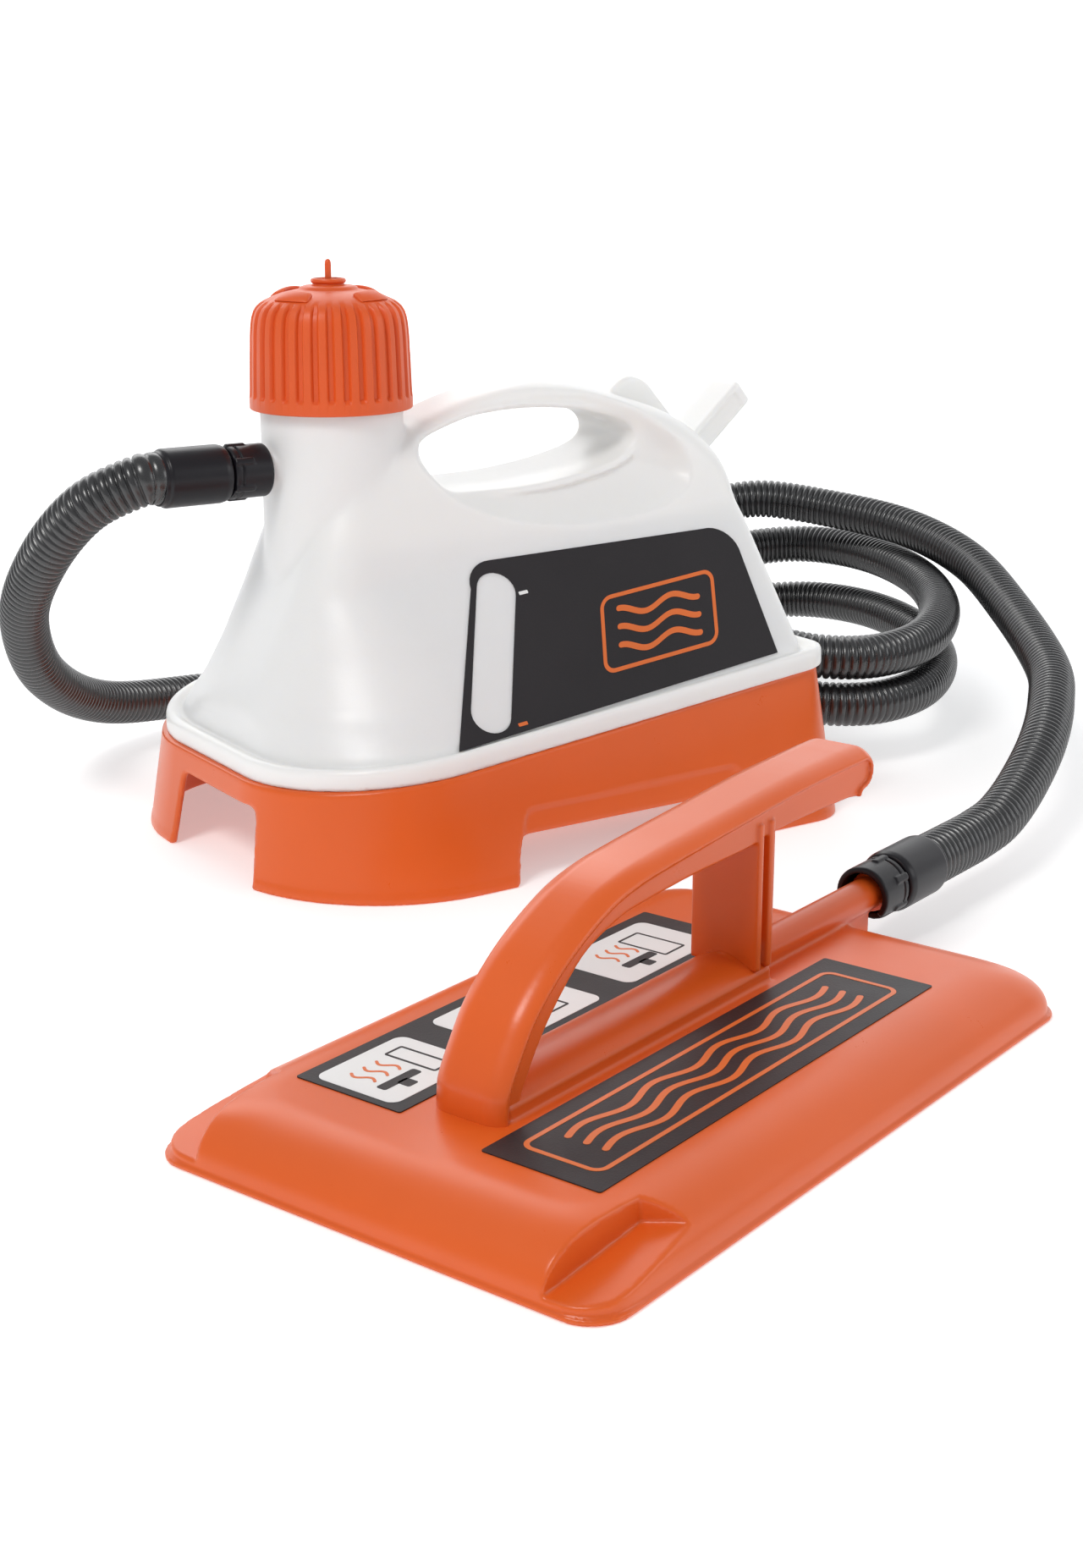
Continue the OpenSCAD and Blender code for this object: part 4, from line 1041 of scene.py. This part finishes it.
def stroke(name, place, path, width, z, material):
    """Flat line of even width with rounded ends."""
    p = np.asarray(path, float)
    t = np.gradient(p, axis=0)
    t /= np.linalg.norm(t, axis=1)[:, None]
    n = np.stack([-t[:, 1], t[:, 0]], 1) * width / 2
    a0, a1 = np.degrees(np.arctan2(t[[0, -1], 1], t[[0, -1], 0]))
    ends = arc(*p[-1], width / 2, a1 - 90, a1 + 90, 6)[1:-1]
    starts = arc(*p[0], width / 2, a0 + 90, a0 + 270, 6)[1:-1]
    outline = np.concatenate([p - n, np.array(ends), (p + n)[::-1], np.array(starts)])
    sheet(name, place, outline, z, material)


def wave(cx, cy, length, swing, turn=0.0, n=24, cycles=1.0):
    """Steam-like wavy line."""
    t = np.linspace(-0.5, 0.5, n)
    u, v = t * length, swing * np.sin(2 * np.pi * cycles * t)
    c, s = math.cos(turn), math.sin(turn)
    return np.stack([cx + u * c - v * s, cy + u * s + v * c], 1)


def dense(points, pitch):
    """Closed outline with points no further apart than pitch."""
    out = []
    for a, b in zip(points, np.roll(points, -1, 0)):
        n = max(1, int(np.linalg.norm(b - a) / pitch))
        out += [a + (b - a) * k / n for k in range(n)]
    return np.array(out)


def capsule(a, b, r, n=16):
    """Outline of a slot with round ends at a and b."""
    turn = math.degrees(math.atan2(b[1] - a[1], b[0] - a[0]))
    return np.array(arc(*b, r, turn - 90, turn + 90, n) + arc(*a, r, turn + 90, turn + 270, n))


def label_fill(outline, window):
    """Thin sheet with a window cut through it: points and faces."""
    flat = np.concatenate([outline, window])
    n = len(flat)
    loops = [[Vector((u, v, 0)) for u, v in edge] for edge in (outline, window)]
    faces = []
    for a, b, c in tessellate_polygon(loops):
        u, v = flat[b] - flat[a], flat[c] - flat[a]
        if u[0] * v[1] < u[1] * v[0]:
            a, c = c, a
        faces += [[a + n, b + n, c + n], [c, b, a]]
    start = 0
    for edge, inward in ((outline, False), (window, True)):
        ring = list(range(start, start + len(edge)))
        last = np.roll(edge, 1, 0)
        clockwise = np.sum(last[:, 0] * edge[:, 1] - edge[:, 0] * last[:, 1]) < 0
        if clockwise != inward:
            ring = ring[::-1]
        faces += [[a, b, b + n, a + n] for a, b in zip(ring, ring[1:] + ring[:1])]
        start += len(edge)
    return [(u, v, level) for level in (0, LABEL_T) for u, v in flat], faces


def build_tank_label():
    """Label with the level window cut through it, a steam emblem and two level ticks."""
    corners = [(-65, -1.2), (108.5, 1.2)] + arc(103.5, 56.5, 13, -5, 92, 8) + arc(-12, 67, 13, 82, 172, 8)
    verts, faces = label_fill(dense(np.array(corners), 1.5), capsule((-43, 11), (-13.6, 64.9), 9.2))
    make_piece("tank_label_sheet", WALL, verts, faces, CHARCOAL, ["tank_label"], sharp=40)
    z = LABEL_T
    emblem = Place(WALL.body, WALL.out([*EMBLEM_MID, 0]), WALL.axes[0],
                   WALL.axes[1] + EMBLEM_LEAN * WALL.axes[0], WALL.axes[2])
    frame_band("tank_emblem_frame", emblem, (0, 0), (32, 18), 6, 1.9, z, PRINT_ORANGE)
    for k in range(3):
        line = wave(0, 8.5 * (k - 1), 44, 2.2, cycles=1.5, n=40)
        stroke("tank_emblem_wave_%d" % (k + 1), emblem, line, 2.7, z, PRINT_ORANGE)
    sheet("tick_high", WALL, rounded(-1.5, 61, 2.3, 0.8, 0.3), z, PRINT_WHITE)
    sheet("tick_low", WALL, rounded(-31, 2.6, 2.3, 0.8, 0.3), z, PRINT_ORANGE)


def build_plate_labels():
    """A steam emblem on one side of the handle and three plain drawings on the other."""
    near, far = rounded(-9, -40, 99, 22, 1.0), rounded(-6.5, 40, 96.5, 22, 1.0)
    sheet("plate_label_sheet", PLATE, near, CROWN_Z, CHARCOAL, LABEL_T, ["plate_label"])
    sheet("guide_label_sheet", PLATE, far, CROWN_Z, CHARCOAL, LABEL_T, ["pictogram_label"])
    z = CROWN_Z + LABEL_T
    frame_band("plate_emblem_frame", PLATE, (-9.8, -40), (89.2, 15.4), 5, 1.8, z, PRINT_ORANGE)
    for k in range(3):
        line = wave(-9.8, -47 + 7 * k, 150, 2.0, cycles=4, n=80)
        stroke("plate_emblem_wave_%d" % (k + 1), PLATE, line, 2.4, z, PRINT_ORANGE)
    for k, (x0, x1) in enumerate(((-100, -58), (-44, 10), (26, 80))):
        panel_art(k + 1, (x0 + x1) / 2, 40, (x1 - x0) / 2, z)


def panel_art(k, cx, cy, ax, z):
    """White rounded panel with a plain drawing of a wall, the plate and rising steam."""
    name = "guide_panel_%d" % k
    sheet(name, PLATE, rounded(cx, cy, ax, 17, 4), z, PRINT_WHITE)
    z += PRINT_T
    sheet(name + "_plate", PLATE, rounded(cx - 6, cy - 6, 9, 2, 1), z, CHARCOAL)
    sheet(name + "_grip", PLATE, rounded(cx - 6, cy - 9.6, 2.4, 2.6, 0.8), z, CHARCOAL)
    for j in range(3):
        line = wave(cx - 12 + 6 * j, cy + 4, 10, 1.4, math.pi / 2)
        stroke("%s_steam_%d" % (name, j + 1), PLATE, line, 1.1, z, PRINT_ORANGE)
    frame_band(name + "_sheet", PLATE, (cx + 10, cy), (3.4 + k, 11), 1, 0.9, z, CHARCOAL)


# ---------------- mains cable and plug
CABLE_R, CABLE_COIL = 3.4, (90, 262)
PLUG_AT = (170, 262, 13)


def cable_path():
    """Out of the base's far side, down to the floor and three times round a coil."""
    way = [(46, 18, 34), (54, 38, 36), (60, 56, 38), (60, 90, 38), (60, 106, 38), (60, 120, 38),
           (60, 136, 28), (60, 156, 12), (64, 184, 4), (76, 212, 4)]
    for a in range(15, 1081, 15):
        w = math.radians(a - 15)
        way.append((CABLE_COIL[0] + 45 * math.sin(w), CABLE_COIL[1] - 45 * math.cos(w),
                    4.0 + 7.4 * a / 360))
    return curve(way, 6)


def build_cable():
    path, _ = even(cable_path(), 2.0)
    verts, faces = loft(tube_rings(path, np.full(len(path), CABLE_R), 20))
    make_piece("mains_cable_vis", TANK, verts, faces, RUBBER, ["mains_cable"])
    moulding("plug_shell", "plug_body", TANK, plug_field, (145, 235, -1), (195, 289, 28), 0.9, RUBBER)


def plug_field(x, y, z):
    """Rounded plug body with finger grooves down both sides."""
    x, y, z = x - PLUG_AT[0], y - PLUG_AT[1], z - PLUG_AT[2]
    body = box3(x, y, z, 23, 25, 13, 5.5)
    grip = smax(np.abs(np.abs(y) - 25) - 1.2, np.abs(x % 4 - 2) - 0.8, 0.6)
    return smax(body, -smax(grip, np.abs(x + 2) - 11, 0.5), 0.6)


# ---------------- floor, light, camera
def paper(name, glow):
    """Plain pale paper that also gives off a little light of its own."""
    n = Nodes(name)
    soft = n.noise(3.0, 2.0)
    n.link(n.ramp(soft, (0.3, (0.88, 0.88, 0.88)), (0.7, (0.90, 0.90, 0.90))),
           n.shader.inputs["Base Color"])
    n.set(Roughness=0.9, Specular_IOR_Level=0.1)
    n.set(Emission_Color=(1, 1, 1, 1), Emission_Strength=glow)
    return n.material


def backdrop(name, profile, material):
    """Sheet swept sideways along a profile of (distance from the object, height)."""
    away = Vector((math.cos(CAMERA_HEADING), math.sin(CAMERA_HEADING), 0))
    side = Vector((away.y, -away.x, 0))
    rings = [[tuple(away * p[0] + side * s + Vector((0, 0, p[1] - 0.0002))) for s in (-8, 8)]
             for p in profile]
    verts, faces = loft(np.array(rings), closed_around=False, caps=False)
    mesh = bpy.data.meshes.new(name)
    mesh.from_pydata(verts.tolist(), [], faces)
    mesh.shade_smooth()
    mesh.materials.append(material)
    piece = bpy.data.objects.new(name, mesh)
    bpy.context.scene.collection.objects.link(piece)


def build_stage():
    depth, bend, rise = 2.2, 1.5, 3.0
    backdrop("floor", [(-6.0, 0), (depth, 0)], paper("floor_paper", 0.36))
    sweep = [(depth + bend * math.sin(a), bend - bend * math.cos(a)) for a in np.linspace(0, 1.57, 12)]
    backdrop("wall", sweep + [(depth + bend, rise + bend)], paper("wall_paper", 0.8))


def area_light(name, at, power, width, height, color=(1, 1, 1)):
    """Soft light aimed at the object's middle."""
    data = bpy.data.lights.new(name, "AREA")
    data.shape = "RECTANGLE"
    data.size, data.size_y = width, height
    data.energy = power
    data.color = color
    lamp = bpy.data.objects.new(name, data)
    lamp.location = at
    lamp.rotation_euler = (Vector((0, 0, 0.1)) - Vector(at)).to_track_quat("-Z", "Y").to_euler()
    bpy.context.scene.collection.objects.link(lamp)


CAMERA_AT = (-528.0, -851.0, 311.0)
CAMERA_HEADING = math.radians(56.3)
CAMERA_PITCH = math.radians(16.7)
FOCAL = 2600 / 1853 * 36


def build_camera():
    data = bpy.data.cameras.new("camera")
    data.lens = FOCAL
    data.sensor_width = 36
    data.clip_end = 50
    camera = bpy.data.objects.new("camera", data)
    camera.location = to_row(CAMERA_AT)
    camera.rotation_euler = (math.pi / 2 - CAMERA_PITCH, 0, CAMERA_HEADING - math.pi / 2)
    bpy.context.scene.collection.objects.link(camera)
    bpy.context.scene.camera = camera


def build_lights():
    world = bpy.data.worlds.new("studio")
    world.use_nodes = True
    background = world.node_tree.nodes["Background"]
    background.inputs["Color"].default_value = (0.95, 0.97, 1.0, 1)
    background.inputs["Strength"].default_value = 0.5
    bpy.context.scene.world = world
    area_light("key", (-1.3, -0.6, 1.7), 16, 0.6, 0.6, (1, 0.99, 0.97))
    area_light("fill", (1.4, -1.5, 0.9), 6, 0.9, 0.9, (0.98, 0.99, 1))
    area_light("rim", (0.3, 1.7, 1.4), 7, 1.6, 0.9)
    bpy.context.scene.view_settings.view_transform = "Standard"
    bpy.context.scene.view_settings.look = "None"


dress_cad_nodes()
build_tank()
build_base()
build_cap()
build_relief_valve()
build_couplings()
build_hose()
build_plate()
build_handle()
build_handle_screws()
build_tank_label()
build_plate_labels()
build_cable()
build_stage()
build_camera()
build_lights()
